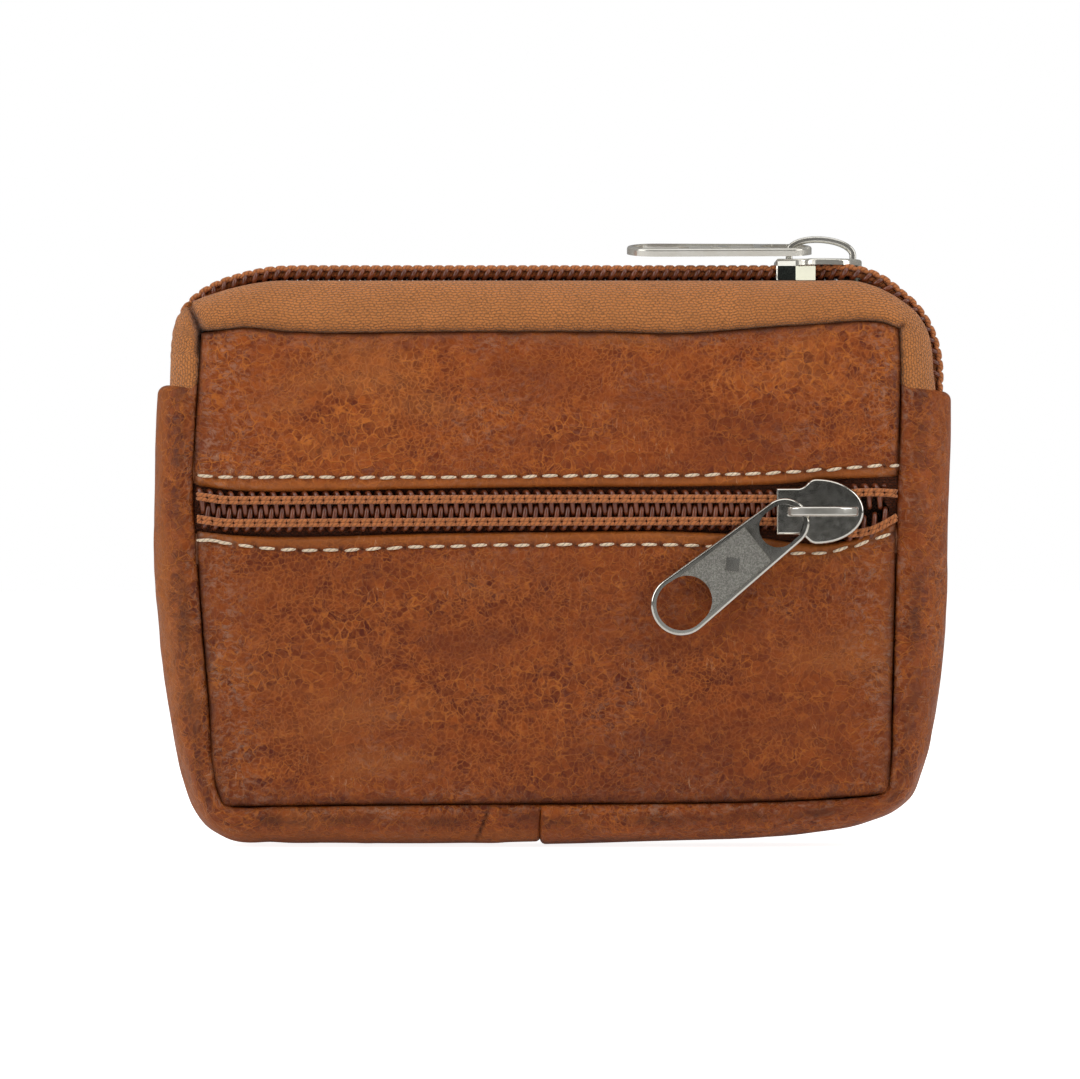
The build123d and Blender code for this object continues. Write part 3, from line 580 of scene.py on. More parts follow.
# The pocket zip's tape is much darker than the main zip's: painted shade for the narrow gap between the leather's
# edges where it shows.
DARK_TAPE = tape_material("pocket_tape_weave", (104, 52, 26))
COIL = coil_material()
COIL_THREAD = thread_material("coil_thread", (192, 116, 64), 0.6)
TOP_THREAD = thread_material("topstitch_thread", (242, 220, 190), 0.7)
LINING = lining_material()
NICKEL = metal_material("nickel")
BRIGHT_NICKEL = metal_material("nickel_main_slider", wave=0.00003, metallic=0.72)


def paint(obj, material):
    obj.data.materials.append(material)
    return obj


# ---------------------------------------------------------------- leather panels

def edge_round(distance, reach=1.5):
    """0 at a seam, 1 from reach inward, round in between."""
    inside = 1 - np.clip(distance / reach, 0, 1)
    return np.sqrt(np.clip(1 - inside ** 2, 0, 1))


STITCHES = {  # line, needle hole nearest the left end, spacing, right end
    "upper": (STITCH_UPPER, -49.4, 2.8, 47.4),
    "lower": (STITCH_LOWER, -49.7, 2.93, 47.3),
}


SEAM_DEPTH = 6.55               # how deep the visible valley of a seam is, from the middle


def panel_depth(x, z, side):
    """How far the front panel's outer face stands from the middle, before its edges turn in."""
    across = np.clip((x + 49) / 96, 0, 1)
    up = np.clip((z - 6) / 65.5, 0, 1)
    near_zip = np.exp(-((z - ZIP_Z) / 9.5) ** 2) if side < 0 else 0.0
    puff = np.sin(np.pi * across) ** 0.6 * np.sin(np.pi * up) ** 0.6
    depth = 7.75 + 0.75 * puff * (1 - near_zip)
    depth = depth + 0.16 * field(x, z, 9.0, 11 + side) * (1 - near_zip)
    return depth + 0.05 * field(x, z, 2.4, 21 + side)


def panel_grid(side, bottom, top, columns, rows, fold_at=None):
    """Grid of the panel between two lines, with its edges turned in at the seams.

    bottom and top give z along x; fold_at says which of them is the folded zip edge."""
    share = (columns[None, :] - columns[0]) / (columns[-1] - columns[0])
    nominal = -48.9 + share * 96.6
    z = bottom(nominal) + (top(nominal) - bottom(nominal)) * rows[:, None]
    left, right = SEAM_LEFT(z), SEAM_RIGHT(z)
    x = left + (right - left) * share
    r = edge_round(x - left) * edge_round(right - x)
    seam_distance = np.minimum(x - left, right - x)
    if fold_at != "top":
        distance = top(nominal) - z
        r = r * edge_round(distance)
        seam_distance = np.minimum(seam_distance, distance)
    if fold_at != "bottom":
        distance = z - bottom(nominal)
        r = r * edge_round(distance)
        seam_distance = np.minimum(seam_distance, distance)
    pucker = 0.16 * np.sin(x * 1.35 + 2 * np.sin(z * 0.6)) * np.exp(-((seam_distance - 1.5) / 1.8) ** 2)
    depth = SEAM_DEPTH + (panel_depth(x, z, side) + pucker - SEAM_DEPTH) * r
    return x, z, depth, seam_distance


def pad(values, axis, at_start, count=3):
    edge = np.take(values, [0 if at_start else -1], axis=axis)
    block = np.repeat(edge, count, axis=axis)
    return np.concatenate([block, values] if at_start else [values, block], axis=axis)


def turn_in(grid, marks, axis, at_start, depth=GROOVE_Y, count=3):
    """Extends a grid into its seam: the last row goes straight on towards the middle."""
    edge = np.take(grid, 0 if at_start else -1, axis=axis)
    target = np.sign(edge[..., 1]) * depth
    extra = []
    for k in range(1, count + 1):
        row = edge.copy()
        row[..., 1] = edge[..., 1] + (target - edge[..., 1]) * k / count
        extra.append(row)
    block = np.stack(extra[::-1] if at_start else extra, axis=axis)
    grid = np.concatenate([block, grid] if at_start else [grid, block], axis=axis)
    return grid, {key: pad(values, axis, at_start, count) for key, values in marks.items()}


def side_sheen(x, z, seam):
    """How much painted greyish sheen a panel's skin gets, and how much glossier it is: most along its left and right
    edges.
    """
    left = np.exp(-((x - SEAM_LEFT(z) - 3.2) / 3.4) ** 2)
    right = np.exp(-((SEAM_RIGHT(z) - x - 2.6) / 2.8) ** 2)
    rim = 0.5 * np.exp(-((seam - 1.4) / 0.9) ** 2)
    return np.clip(left + right + rim + 0.25 * field(x, z, 14.0, 91), 0, 1)


def stitch_marks(x, z, which):
    """Depth of the needle holes and of the groove the stitches lie in, and the painted shade in the needle holes."""
    line, first, spacing, _ = STITCHES[which]
    groove = np.exp(-((z - line(x)) / 0.55) ** 2)
    nearest = np.abs(((x - first) + spacing / 2) % spacing - spacing / 2)
    hole = np.exp(-(nearest / 0.36) ** 2) * np.exp(-((z - line(x)) / 0.30) ** 2)
    return 0.13 * groove + 0.36 * hole, hole


def seam_shade(x, z, seam):
    """Painted shade in the valley of a seam, a little uneven along it."""
    width = 0.40 + 0.16 * field(x, z, 2.2, 95)
    return 0.85 * np.exp(-(seam / np.maximum(width, 0.12)) ** 2) + 0.34 * np.exp(-(seam / 1.3) ** 2)


def front_panel(which):
    upper = which == "upper"
    columns = steps(0, 96.6, 0.42)
    bottom, top = (EDGE_UPPER, SEAM_TOP) if upper else (SEAM_BOTTOM, EDGE_LOWER)
    height = 21.5 if upper else 37.3
    rows = steps(0, height, 0.42, 0.2) / height
    x, z, depth, seam = panel_grid(-1, bottom, top, columns, rows, "bottom" if upper else "top")
    dip, hole = stitch_marks(x, z, which)
    zip_edge = (z - bottom(x)) if upper else (top(x) - z)
    depth = depth - dip + 0.10 * np.exp(-((zip_edge - 3.4) / 1.2) ** 2)
    radius = 0.85
    roll = 1 - np.clip(zip_edge / radius, 0, 1)
    depth = depth - radius * (1 - np.sqrt(np.clip(1 - roll ** 2, 0, 1)))
    grid = np.stack([x, -depth, z], -1)
    # shade is painted shade in the seam valleys and the needle holes; edge carries the painted sheen.
    marks = {
        "shade": np.clip(seam_shade(x, z, seam) + 0.9 * hole, 0, 1),
        "edge": side_sheen(x, z, seam),
        "plain": np.exp(-(zip_edge / 1.5) ** 4),
    }
    # The zip edge goes on round the fold and up behind the panel.
    row = grid[0 if upper else -1]
    sign = 1 if upper else -1
    turned = []
    for angle in np.linspace(0.2, 0.5, 5) * math.pi:
        step = row.copy()
        step[:, 1] = row[:, 1] + radius * math.sin(angle) * 0.9
        step[:, 2] = row[:, 2] + sign * radius * (1 - math.cos(angle)) * 0.4
        turned.append(step)
    for back in (0.8, 2.2, 4.2):
        step = turned[4].copy()
        step[:, 1] = np.minimum(turned[4][:, 1] + 0.05, -6.12)
        step[:, 2] += sign * back
        turned.append(step)
    block = np.stack(turned[::-1] if upper else turned)
    grid = np.concatenate([block, grid] if upper else [grid, block])
    marks = {key: pad(values, 0, upper, len(turned)) for key, values in marks.items()}
    # The rows turned in behind the zip edge get painted shade, darker the further in they go.
    dark = np.linspace(0.1, 0.9, len(turned))
    rows_behind = slice(0, len(turned)) if upper else slice(-len(turned), None)
    marks["shade"][rows_behind] = (dark[::-1] if upper else dark)[:, None]
    grid, marks = turn_in(grid, marks, 0, not upper)
    for at_start in (True, False):
        grid, marks = turn_in(grid, marks, 1, at_start)
    texture = grid[..., [0, 2, 1]].copy()
    texture[..., 2] = 0
    return grid, texture, marks


def cut_columns(grid, texture, extra, x_split):
    """Splits a panel at a column, both halves keeping that column."""
    k = int(np.argmin(np.abs(grid[grid.shape[0] // 2, :, 0] - x_split)))
    def part(a, left):
        return a[:, : k + 1] if left else a[:, k:]
    return [(part(grid, left), part(texture, left), {key: part(v, left) for key, v in extra.items()})
            for left in (True, False)]


def lip_start_end(gradient, zero):
    gradient = np.array(gradient, float)
    end = np.array(zero, float) + gradient / (gradient @ gradient)
    return tuple((np.array(zero, float) + TO_FRAME) * MM), tuple((end + TO_FRAME) * MM)


POCKET_LEFT = lip_start_end((0.04, 0, 0.05), (-32, 0, 44))
POCKET_RIGHT = lip_start_end((-0.0625, 0, 0.05), (47.4, 0, 44))

grid, texture, marks = front_panel("upper")
upper = sheet("leather_front_upper", grid, texture, 0.8, marks)
paint(upper, LEATHER["upper"])
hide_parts("front_panel_upper")
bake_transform(upper)

for label, pieces, ends in zip(("left", "right"), cut_columns(*front_panel("lower"), LIP_SPLIT_X),
                               (POCKET_LEFT, POCKET_RIGHT)):
    lower = sheet("leather_front_lower_" + label, pieces[0], pieces[1], 0.8, pieces[2])
    paint(lower, LEATHER["lower"])
    if label == "left":
        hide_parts("front_panel_lower")
    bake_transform(lower)


def back_panel():
    columns = steps(0, 96.6, 0.55)
    rows = steps(0, 65.5, 0.55, 0.2) / 65.5
    x, z, depth, seam = panel_grid(1, SEAM_BOTTOM, SEAM_TOP, columns, rows)
    marks = {"shade": seam_shade(x, z, seam), "edge": 0.7 * side_sheen(x, z, seam),
             "plain": np.zeros(x.shape)}
    grid = np.stack([x, depth, z], -1)
    for axis in (0, 1):
        for at_start in (True, False):
            grid, marks = turn_in(grid, marks, axis, at_start)
    texture = grid[..., [0, 2, 1]].copy()
    texture[..., 2] = 0
    back = sheet("leather_back", grid, texture, 0.8, marks)
    paint(back, LEATHER["back"])
    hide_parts("back_panel")
    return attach(back, "pouch")


back_panel()


# ---------------------------------------------------------------- side strips

STRIP_PROFILE = curve([(0.0, 0.0), (0.06, 0.02), (0.12, 0.09), (0.2, 0.2), (0.32, 0.36),
                       (0.46, 0.56), (0.6, 0.74), (0.74, 0.88), (0.88, 0.97), (1.0, 1.0)])
STRIP_DEPTH = curve([(0.0, 6.2), (0.06, 6.85), (0.12, 7.1), (0.2, 7.25), (0.32, 7.15),
                     (0.46, 6.5), (0.6, 5.4), (0.74, 3.9), (0.88, 2.0), (1.0, 0.0)])


def side_strip(label, stations, crease_x=None):
    line, along = path([(*row[:2], row[2] * 1.011, row[3]) for row in stations], 0.42)
    half = np.r_[np.linspace(0, 0.2, 12), np.linspace(0.2, 1, 34)[1:]]
    u = np.r_[half, half[::-1][1:]]
    side = np.r_[-np.ones(len(half)), np.ones(len(half) - 1)]
    out = STRIP_PROFILE(u)
    depth = STRIP_DEPTH(u) * side
    seam, outer = line[:, :2], line[:, 2:]
    spot = seam[:, None, :] + (outer - seam)[:, None, :] * out[None, :, None]
    girth = np.r_[0, np.cumsum(np.hypot(np.diff(out) * 5.5, np.diff(depth)))]
    s = along[:, None] * np.ones(len(u))
    g = girth[None, :] * np.ones((len(along), 1))
    inward = (seam - outer)
    width = np.linalg.norm(inward, axis=1)
    inward = inward / width[:, None]
    # Soft wrinkles: lengthwise rolls, and short ones that run in from the seam.
    lift = 0.13 * field(s * 0.4, g, 3.4, 31 if label == "left" else 32)
    lift = lift + 0.07 * field(s, g, 2.6, 41 if label == "left" else 42)
    # The outermost line stays smooth, and the wrinkles lie between it and the seams.
    fade = np.abs(np.sin(2 * np.pi * np.clip(g / girth[-1], 0, 1))) ** 0.7
    seam_near = np.exp(-(g / 2.2) ** 2) + np.exp(-((girth[-1] - g) / 2.2) ** 2)
    lift = lift * fade + 0.14 * seam_near * np.sin(s * 1.5 + 2.2 * np.sin(s * 0.31))
    crease = np.zeros_like(lift)
    if crease_x is not None:
        x_here = seam[:, 0][:, None] * np.ones(len(u))
        target = crease_x - 0.30 * (g - 4.0)
        crease = np.exp(-((x_here - target) / 0.28) ** 2) * smooth(1.2 - np.abs(g - 4.0) / 4.2)
        lift = lift - 0.55 * crease
    push_out = np.clip(out, 0, 1)[None, :]
    x = spot[..., 0] - inward[:, 0][:, None] * lift * push_out
    z = spot[..., 1] - inward[:, 1][:, None] * lift * push_out
    y = depth[None, :] + lift * side[None, :] * (1 - push_out)
    grid = np.stack([x, np.broadcast_to(y, x.shape), z], -1)
    near = np.minimum(g, girth[-1] - g)
    broken = 0.55 + 0.45 * field(s * 0.5, g, 2.2, 52)
    # Painted shade at the seams, in a band near them and in the crease; edge is a painted broken highlight beside
    # the seams, with a painted sheen over the strip, most on the right one.
    marks = {
        "shade": np.clip(0.9 * np.exp(-(near / 0.8) ** 2) + 0.50 * np.exp(-((near - 2.7) / 1.1) ** 2)
                         * (0.7 + 0.5 * field(s, g, 3.0, 53)) + 0.9 * crease, 0, 1),
        "edge": np.clip(np.exp(-((near - 1.3) / 0.7) ** 2) * broken * 2.0
                        + (0.6 * broken if label == "right" else 0.1), 0, 1),
        "plain": np.clip(smooth((near - 3.8) / 2.0) * (0.8 if label == "left" else 0.3), 0, 1),
        "s": s, "g": g, "near": near,
    }
    # Both ends are folded in: the skin turns round a small radius and goes on inside.
    for at_start in (True, False):
        row = grid[0 if at_start else -1]
        normal = grid_normals(grid)[0 if at_start else -1]
        middle = len(row) // 2
        if normal[middle] @ (row[middle] - np.array([0.0, 0.0, 38.0])) < 0:
            normal = -normal
        ahead = (row - grid[3 if at_start else -4]).mean(axis=0)
        ahead /= np.linalg.norm(ahead)
        full = 1.25 if at_start else 0.8
        radius = full * np.maximum(smooth(marks["near"][0] / 2.0), 0.25)[:, None]
        turned = []
        for angle in np.linspace(0.08, 0.5, 7) * math.pi:
            turned.append(row - normal * radius * (1 - math.cos(angle))
                          + ahead * (full - radius + radius * math.sin(angle)))
        turned.append(turned[-1] - normal * radius * 1.2)
        block = np.stack(turned[::-1] if at_start else turned)
        grid = np.concatenate([block, grid] if at_start else [grid, block])
        marks = {key: pad(values, 0, at_start, len(turned)) for key, values in marks.items()}
        # The folded ends get painted shade, darker the further in they turn.
        dark = np.linspace(0.0, 0.6, len(turned)) ** 2
        runs = np.arange(1, len(turned) + 1) * 0.3
        ends = slice(0, len(turned)) if at_start else slice(-len(turned), None)
        marks["shade"][ends] = np.maximum(marks["shade"][ends],
                                          (dark[::-1] if at_start else dark)[:, None])
        marks["s"][ends] += (-runs[::-1] if at_start else runs)[:, None]
    for at_start in (True, False):
        grid, marks = turn_in(grid, marks, 1, at_start)
    s, g = marks.pop("s"), marks.pop("g")
    marks.pop("near")
    texture = np.stack([s, g, np.zeros_like(s)], -1)
    strip = sheet("leather_strip_" + label, grid, texture, 0.55, marks)
    paint(strip, LEATHER[label])
    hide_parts("gusset_" + label)
    return strip


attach(side_strip("left", STRIP_LEFT, -9.7), "pouch")
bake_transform(side_strip("right", STRIP_RIGHT))


# ---------------------------------------------------------------- main zip

TAPE_ACROSS = [  # share from the seam to the fold, depth
    (0.0, 4.2), (0.0, 5.2), (0.0, 6.0), (0.02, 6.45), (0.07, 6.8), (0.16, 7.05), (0.3, 7.1),
    (0.45, 6.95), (0.6, 6.7), (0.74, 6.3), (0.86, 5.75), (0.94, 5.2), (0.985, 4.6), (1.0, 3.9),
]
MAIN_LINE, MAIN_ALONG = path([(row[4] * 1.008, row[5], row[0], row[1], row[2] * 1.006, row[3])
                              for row in TAPE_PATH], 0.4)


def main_parting(x):
    """How far each row of the main chain has moved aside at x."""
    return MAIN_SPREAD * smooth((x - SLIDER_X) / 4.0)


TAPE_FOLDS = [  # where the tape is folded over at a corner: seam end, far end, depth
    ((-48.5, 70.8), (-50.3, 74.9), 1.0),
    ((47.6, 71.4), (48.3, 72.1), 0.5),
    ((-48.9, 68.5), (-48.7, 71.0), 0.6),
]


def main_tape(side, name):
    chain, seam, fold = MAIN_LINE[:, 0:2], MAIN_LINE[:, 2:4], MAIN_LINE[:, 4:6]
    across = np.array(TAPE_ACROSS)
    fine_u = np.linspace(0, len(across) - 1, 48)
    share = np.interp(fine_u, np.arange(len(across)), across[:, 0])
    depth = np.interp(fine_u, np.arange(len(across)), across[:, 1])
    kernel = np.array([0.25, 0.5, 0.25])
    for _ in range(3):
        share[1:-1] = np.convolve(share, kernel, "valid")
        depth[1:-1] = np.convolve(depth, kernel, "valid")
    spot = seam[:, None, :] + (fold - seam)[:, None, :] * share[None, :, None]
    y = np.broadcast_to(depth, spot.shape[:2]).copy()
    u = share * 7.0
    wave = field(MAIN_ALONG[:, None] * 0.6, u[None, :] * 1.0, 5.0, 51)
    y += 0.14 * wave * np.sin(np.pi * np.clip(share, 0, 1))[None, :]
    # Small gathers where the tape meets the leather's seam.
    gather = np.exp(-(u / 1.4) ** 2)[None, :] * np.sin(MAIN_ALONG * 2.1 + 2 * np.sin(MAIN_ALONG * 0.37))[:, None]
    y += 0.12 * gather * (share > 0.01)[None, :]
    folds = 0.0
    for (x0, z0), (x1, z1), deep in TAPE_FOLDS:
        along = np.array([x1 - x0, z1 - z0])
        length = np.hypot(*along)
        t = ((spot[..., 0] - x0) * along[0] + (spot[..., 1] - z0) * along[1]) / length ** 2
        off = np.hypot(spot[..., 0] - x0 - np.clip(t, 0, 1) * along[0],
                       spot[..., 1] - z0 - np.clip(t, 0, 1) * along[1])
        folds = folds + deep * np.exp(-(off / (0.38 + 0.25 * np.clip(1 - t, 0, 1))) ** 2)
    folds = np.broadcast_to(folds, y.shape) * (y > 4.5)
    y -= 1.5 * folds
    inner_edge = 0.85 + main_parting(chain[:, 0])
    flat = np.linspace(0, 1, 8)[1:]
    flat_spot = fold[:, None, :] + (chain - fold)[:, None, :] * np.clip(flat * 1.6, 0, 1)[None, :, None]
    flat_y = 3.9 + (inner_edge[:, None] - 3.9) * flat[None, :]
    spot = np.concatenate([spot, flat_spot], 1)
    y = np.concatenate([y, flat_y], 1)
    grid = np.stack([spot[..., 0], side * y, spot[..., 1]], -1)
    girth = np.linalg.norm(np.diff(grid, axis=1), axis=2)
    girth = np.concatenate([np.zeros((len(grid), 1)), np.cumsum(girth, axis=1)], 1)
    texture = np.stack([MAIN_ALONG[:, None] * np.ones(grid.shape[1]), girth, np.zeros_like(girth)], -1)
    # Painted shade in a band along the seam and in the folds of the tape.
    shade = 0.6 * np.exp(-((girth - 1.6) / 0.6) ** 2)
    shade[:, :folds.shape[1]] += folds
    tape = sheet(name, grid, texture, 0.4, {"shade": np.clip(shade, 0, 1)}, toward=(0, 0, 38))
    return paint(tape, TAPE)


def row_frame(line, along, at):
    """Point, tangent and outward normal of a chain line, at distances along it."""
    x = np.interp(at, along, line[:, 0])
    z = np.interp(at, along, line[:, 1])
    ahead = np.stack([np.interp(at + 0.4, along, line[:, 0]) - np.interp(at - 0.4, along, line[:, 0]),
                      np.interp(at + 0.4, along, line[:, 1]) - np.interp(at - 0.4, along, line[:, 1])], 1)
    ahead /= np.linalg.norm(ahead, axis=1, keepdims=True)
    return np.stack([x, z], 1), ahead, np.stack([-ahead[:, 1], ahead[:, 0]], 1)


def coil_turns(length, phase, per_turn=18):
    """Distance along, across (v) and height (n) of a coil wire wound along a tape's edge."""
    count = int((length - 1.2) / PITCH)
    theta = np.arange(count * per_turn + 1) / per_turn * math.tau
    # Both legs cross straight over, and the wire moves on by a pitch in its outer turn.
    s = 0.6 + phase + PITCH * (theta + 0.85 * np.sin(theta)) / math.tau
    c, d = np.cos(theta), np.sin(theta)
    v = LOOP_MIDDLE + LOOP_HALF * np.sign(c) * np.abs(c) ** 0.85
    n = LOOP_N + LOOP_RISE * np.sign(d) * np.abs(d) ** 0.7
    keep = s < length - 0.5
    return s[keep], v[keep], n[keep]


def thread_between(length, phase, per_turn=10):
    """Distances along a seam over the coil, and at each how near it is to midway between legs."""
    s = np.arange(0.5, length - 0.4, PITCH / per_turn)
    return s, np.abs(np.sin(np.pi * (s - 0.6 - phase - PITCH * 0.385) / PITCH)) ** 8


def thread_pair(length, phase, v=THREAD_V, n=1.98):
    """Two strands of the seam that holds the coil, and the cord the coil is wound round."""
    s, between = thread_between(length, phase)
    strands = [(s, v + strand * (0.26 + 0.12 * between), n - 0.22 * between) for strand in (-1, 1)]
    return strands + [(s, THREAD_V + 0.0 * s, LOOP_N + 0.0 * s)]


def thread_radius(length, phase, full=0.33):
    """The strands are full over each leg and thin between legs; the cord inside is even."""
    s, between = thread_between(length, phase)
    return [full - 0.11 * between] * 2 + [0.46 + 0.0 * s]


def main_row(side, what):
    """One coil row of the main zip, or the strands that hold it, as lines of points."""
    total = MAIN_ALONG[-1]
    phase = 0.0 if side < 0 else PITCH / 2
    parts = [coil_turns(total, phase)] if what == "coil" else thread_pair(total, phase, 1.86, 1.84)
    lines = []
    for s, v, n in parts:
        spot, ahead, normal = row_frame(MAIN_LINE, MAIN_ALONG, s)
        v = v + main_parting(spot[:, 0])
        lines.append(np.stack([spot[:, 0] + normal[:, 0] * n, side * v, spot[:, 1] + normal[:, 1] * n], 1))
    return lines


def main_thread_radius(side):
    return thread_radius(MAIN_ALONG[-1], 0.0 if side < 0 else PITCH / 2, 0.42)


for side, label in ((-1, "front"), (1, "back")):
    group = (
        ("main_tape_" + label, "main_zip_tape_" + label, main_tape(side, "main_tape_" + label)),
        ("main_coil_" + label, "main_zip_coil_" + label,
         paint(tubes("main_coil_" + label, main_row(side, "coil"), WIRE_R, 8), COIL)),
        ("main_thread_" + label, "main_zip_thread_" + label,
         paint(tubes("main_thread_" + label, main_row(side, "thread"), main_thread_radius(side), 8),
               COIL_THREAD)),
    )
    for _, node, obj in group:
        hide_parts(node)
        if side < 0:
            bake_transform(obj)
        else:
            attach(obj, "pouch")


# ---------------------------------------------------------------- pocket zip

FRONT_START, FRONT_END = -49.6, 47.9
# Middle line of each row's inner side: how far it has moved from the chain's middle.
ROW_UPPER = curve([(-49, 0.35), (-46, -0.1), (-40, -0.2), (-30, -0.15), (0, 0.0), (30.5, 0.0),
                   (SLIDER_X, 0.0), (SLIDER_X + 4, 0.75), (44, 0.9), (48, 0.7)])
ROW_LOWER = curve([(-49, 0.35), (-46, -0.1), (-40, -0.2), (-30, -0.15), (0, 0.0), (30.5, 0.0),
                   (SLIDER_X, -0.1), (SLIDER_X + 3.5, -1.55), (43.6, -1.3), (48, 0.9)])


def front_thread_radius(side):
    return thread_radius(FRONT_END - FRONT_START, 0.0 if side > 0 else PITCH / 2)


def front_row(side, what):
    length = FRONT_END - FRONT_START
    phase = 0.0 if side > 0 else PITCH / 2
    parts = [coil_turns(length, phase)] if what == "coil" else thread_pair(length, phase)
    middle = ROW_UPPER if side > 0 else ROW_LOWER
    lines = []
    for s, v, n in parts:
        x = FRONT_START + s
        lines.append(np.stack([x, FRONT_TAPE_Y - n, ZIP_Z + middle(x) + side * v], 1))
    return lines


def front_tape(side, name, start=FRONT_START, end=FRONT_END):
    x = np.linspace(start, end, int((end - start) / 0.6))
    v = np.r_[0.85, 1.6, 2.6, 3.6, 5.0, 8.0, 12.5]
    middle = (ROW_UPPER if side > 0 else ROW_LOWER)(x)
    fade = np.clip(1 - (v - 3) / 8, 0, 1)
    z = ZIP_Z + middle[:, None] * fade[None, :] + side * v[None, :]
    # Beyond the chain's ends the two tapes meet.
    ends = np.maximum(smooth((x - 45.6) / 1.0), smooth((-46.5 - x) / 1.5))
    z[:, 0] += (ZIP_Z - side * 0.05 - z[:, 0]) * ends
    y = FRONT_TAPE_Y + 0.03 * field(x[:, None], v[None, :], 3.0, 61)
    grid = np.stack([x[:, None] * np.ones(len(v)), y, z], -1)
    texture = np.stack([grid[..., 0], grid[..., 2], np.zeros_like(y)], -1)
    tape = sheet(name, grid, texture, 0.45, {"shade": np.zeros(y.shape)}, toward=(0, 30, ZIP_Z))
    return paint(tape, DARK_TAPE)


def split_lines(lines, radius, x_split):
    """Lines of points and their radii, left and right of x_split, overlapping a little."""
    halves = []
    each = radius if isinstance(radius, list) else [radius] * len(lines)
    for keep in (lambda x: x <= x_split + 0.02, lambda x: x >= x_split - 0.35):
        parts = [line[keep(line[:, 0])] for line in lines]
        radii = [np.broadcast_to(r, len(line))[keep(line[:, 0])] for line, r in zip(lines, each)]
        halves.append((parts, radii))
    return halves


upper_pieces = (
    ("front_zip_tape_upper", front_tape(1, "pocket_tape_upper")),
    ("front_zip_coil_upper", paint(tubes("pocket_coil_upper", front_row(1, "coil"), WIRE_R, 8), COIL)),
    ("front_zip_thread_upper", paint(tubes("pocket_thread_upper", front_row(1, "thread"),
                                           front_thread_radius(1), 8), COIL_THREAD)),
)
for node, obj in upper_pieces:
    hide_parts(node)
    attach(obj, "pouch")


def skin_depth(x, z):
    """The front panel's outer face, with its left and right edges rounded."""
    r = edge_round(x - SEAM_LEFT(z)) * edge_round(SEAM_RIGHT(z) - x)
    return SEAM_DEPTH + (panel_depth(x, z, -1) - SEAM_DEPTH) * r


def stitch_lines(which):
    """Each stitch: out of one needle hole, over the leather and into the next."""
    line, first, spacing, last = STITCHES[which]
    r = np.random.default_rng(5)
    lines = []
    for start in np.arange(first, last - 1.2, spacing):
        t = np.linspace(0, 1, 11)
        length = min(r.uniform(1.80, 2.00), last - start - 0.3)
        x = start + (spacing - length) / 2 + length * t
        z = line(x) + r.uniform(-0.02, 0.20) * (t - 0.5) + r.uniform(-0.06, 0.06)
        rise = np.sin(np.pi * t) ** 0.5 * 0.34 - 0.20
        lines.append(np.stack([x, -skin_depth(x, z) - rise, z], 1))
    if which == "lower":
        # The seam is locked with one stitch back over the first two.
        x = -48.3 + 2.6 * t
        lines.append(np.stack([x, -skin_depth(x, line(x)) - rise - 0.12, line(x) + 0.12], 1))
    return lines


STITCH_TAPER = 0.235 * (0.55 + 0.45 * np.sin(np.pi * np.linspace(0, 1, 11)) ** 0.7)


def cord_pieces(name, lines, radius, material, node, sides=8, flat=1.0):
    """A pocket-lip cord in a left and a right piece."""
    for label, (part, radii), ends in zip(("left", "right"), split_lines(lines, radius, LIP_SPLIT_X),
                                          (POCKET_LEFT, POCKET_RIGHT)):
        obj = paint(tubes(name + "_" + label, part, radii, sides, flat), material)
        if label == "left":
            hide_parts(node)
        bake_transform(obj)


cord_pieces("pocket_coil_lower", front_row(-1, "coil"), WIRE_R, COIL, "front_zip_coil_lower")
cord_pieces("pocket_thread_lower", front_row(-1, "thread"), front_thread_radius(-1), COIL_THREAD,
            "front_zip_thread_lower")
stitches = stitch_lines("lower")
for label, keep, ends in (("left", True, POCKET_LEFT), ("right", False, POCKET_RIGHT)):
    part = [line for line in stitches if (line[:, 0].mean() < LIP_SPLIT_X) == keep]
    obj = paint(tubes("topstitch_lower_" + label, part, STITCH_TAPER, 10), TOP_THREAD)
    if keep:
        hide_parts("topstitch_lower")
    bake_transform(obj)
obj = paint(tubes("topstitch_upper_row", stitch_lines("upper"), STITCH_TAPER, 10), TOP_THREAD)
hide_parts("topstitch_upper")
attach(obj, "pouch")

for label, start, end, ends in (("left", FRONT_START, LIP_SPLIT_X, POCKET_LEFT),
                                ("right", LIP_SPLIT_X - 0.05, FRONT_END, POCKET_RIGHT)):
    lower_tape = front_tape(-1, "pocket_tape_lower_" + label, start, end)
    if label == "left":
        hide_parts("front_zip_tape_lower")
    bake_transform(lower_tape)


# ---------------------------------------------------------------- linings

def lining(name, node, depth, seed):
    x = np.linspace(-46.4, 45.6, 92)
    z = np.linspace(7.2, 71.0, 64)
    X, Z = np.meshgrid(x, z)
    y = depth + 0.22 * field(X, Z, 11.0, seed) + 0.06 * field(X, Z, 3.0, seed + 1)
    grid = np.stack([X, y, Z], -1)
    texture = np.stack([X, Z, np.zeros_like(X)], -1)
    toward = (0, 30, 38) if depth < 0 else (0, -30, 38)
    cloth = paint(sheet(name, grid, texture, 0.25, toward=toward), LINING)
    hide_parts(node)
    return cloth


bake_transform(lining("lining_divider", "divider_lining", -3.9, 71))
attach(lining("lining_back", "back_lining", 6.3, 73), "pouch")


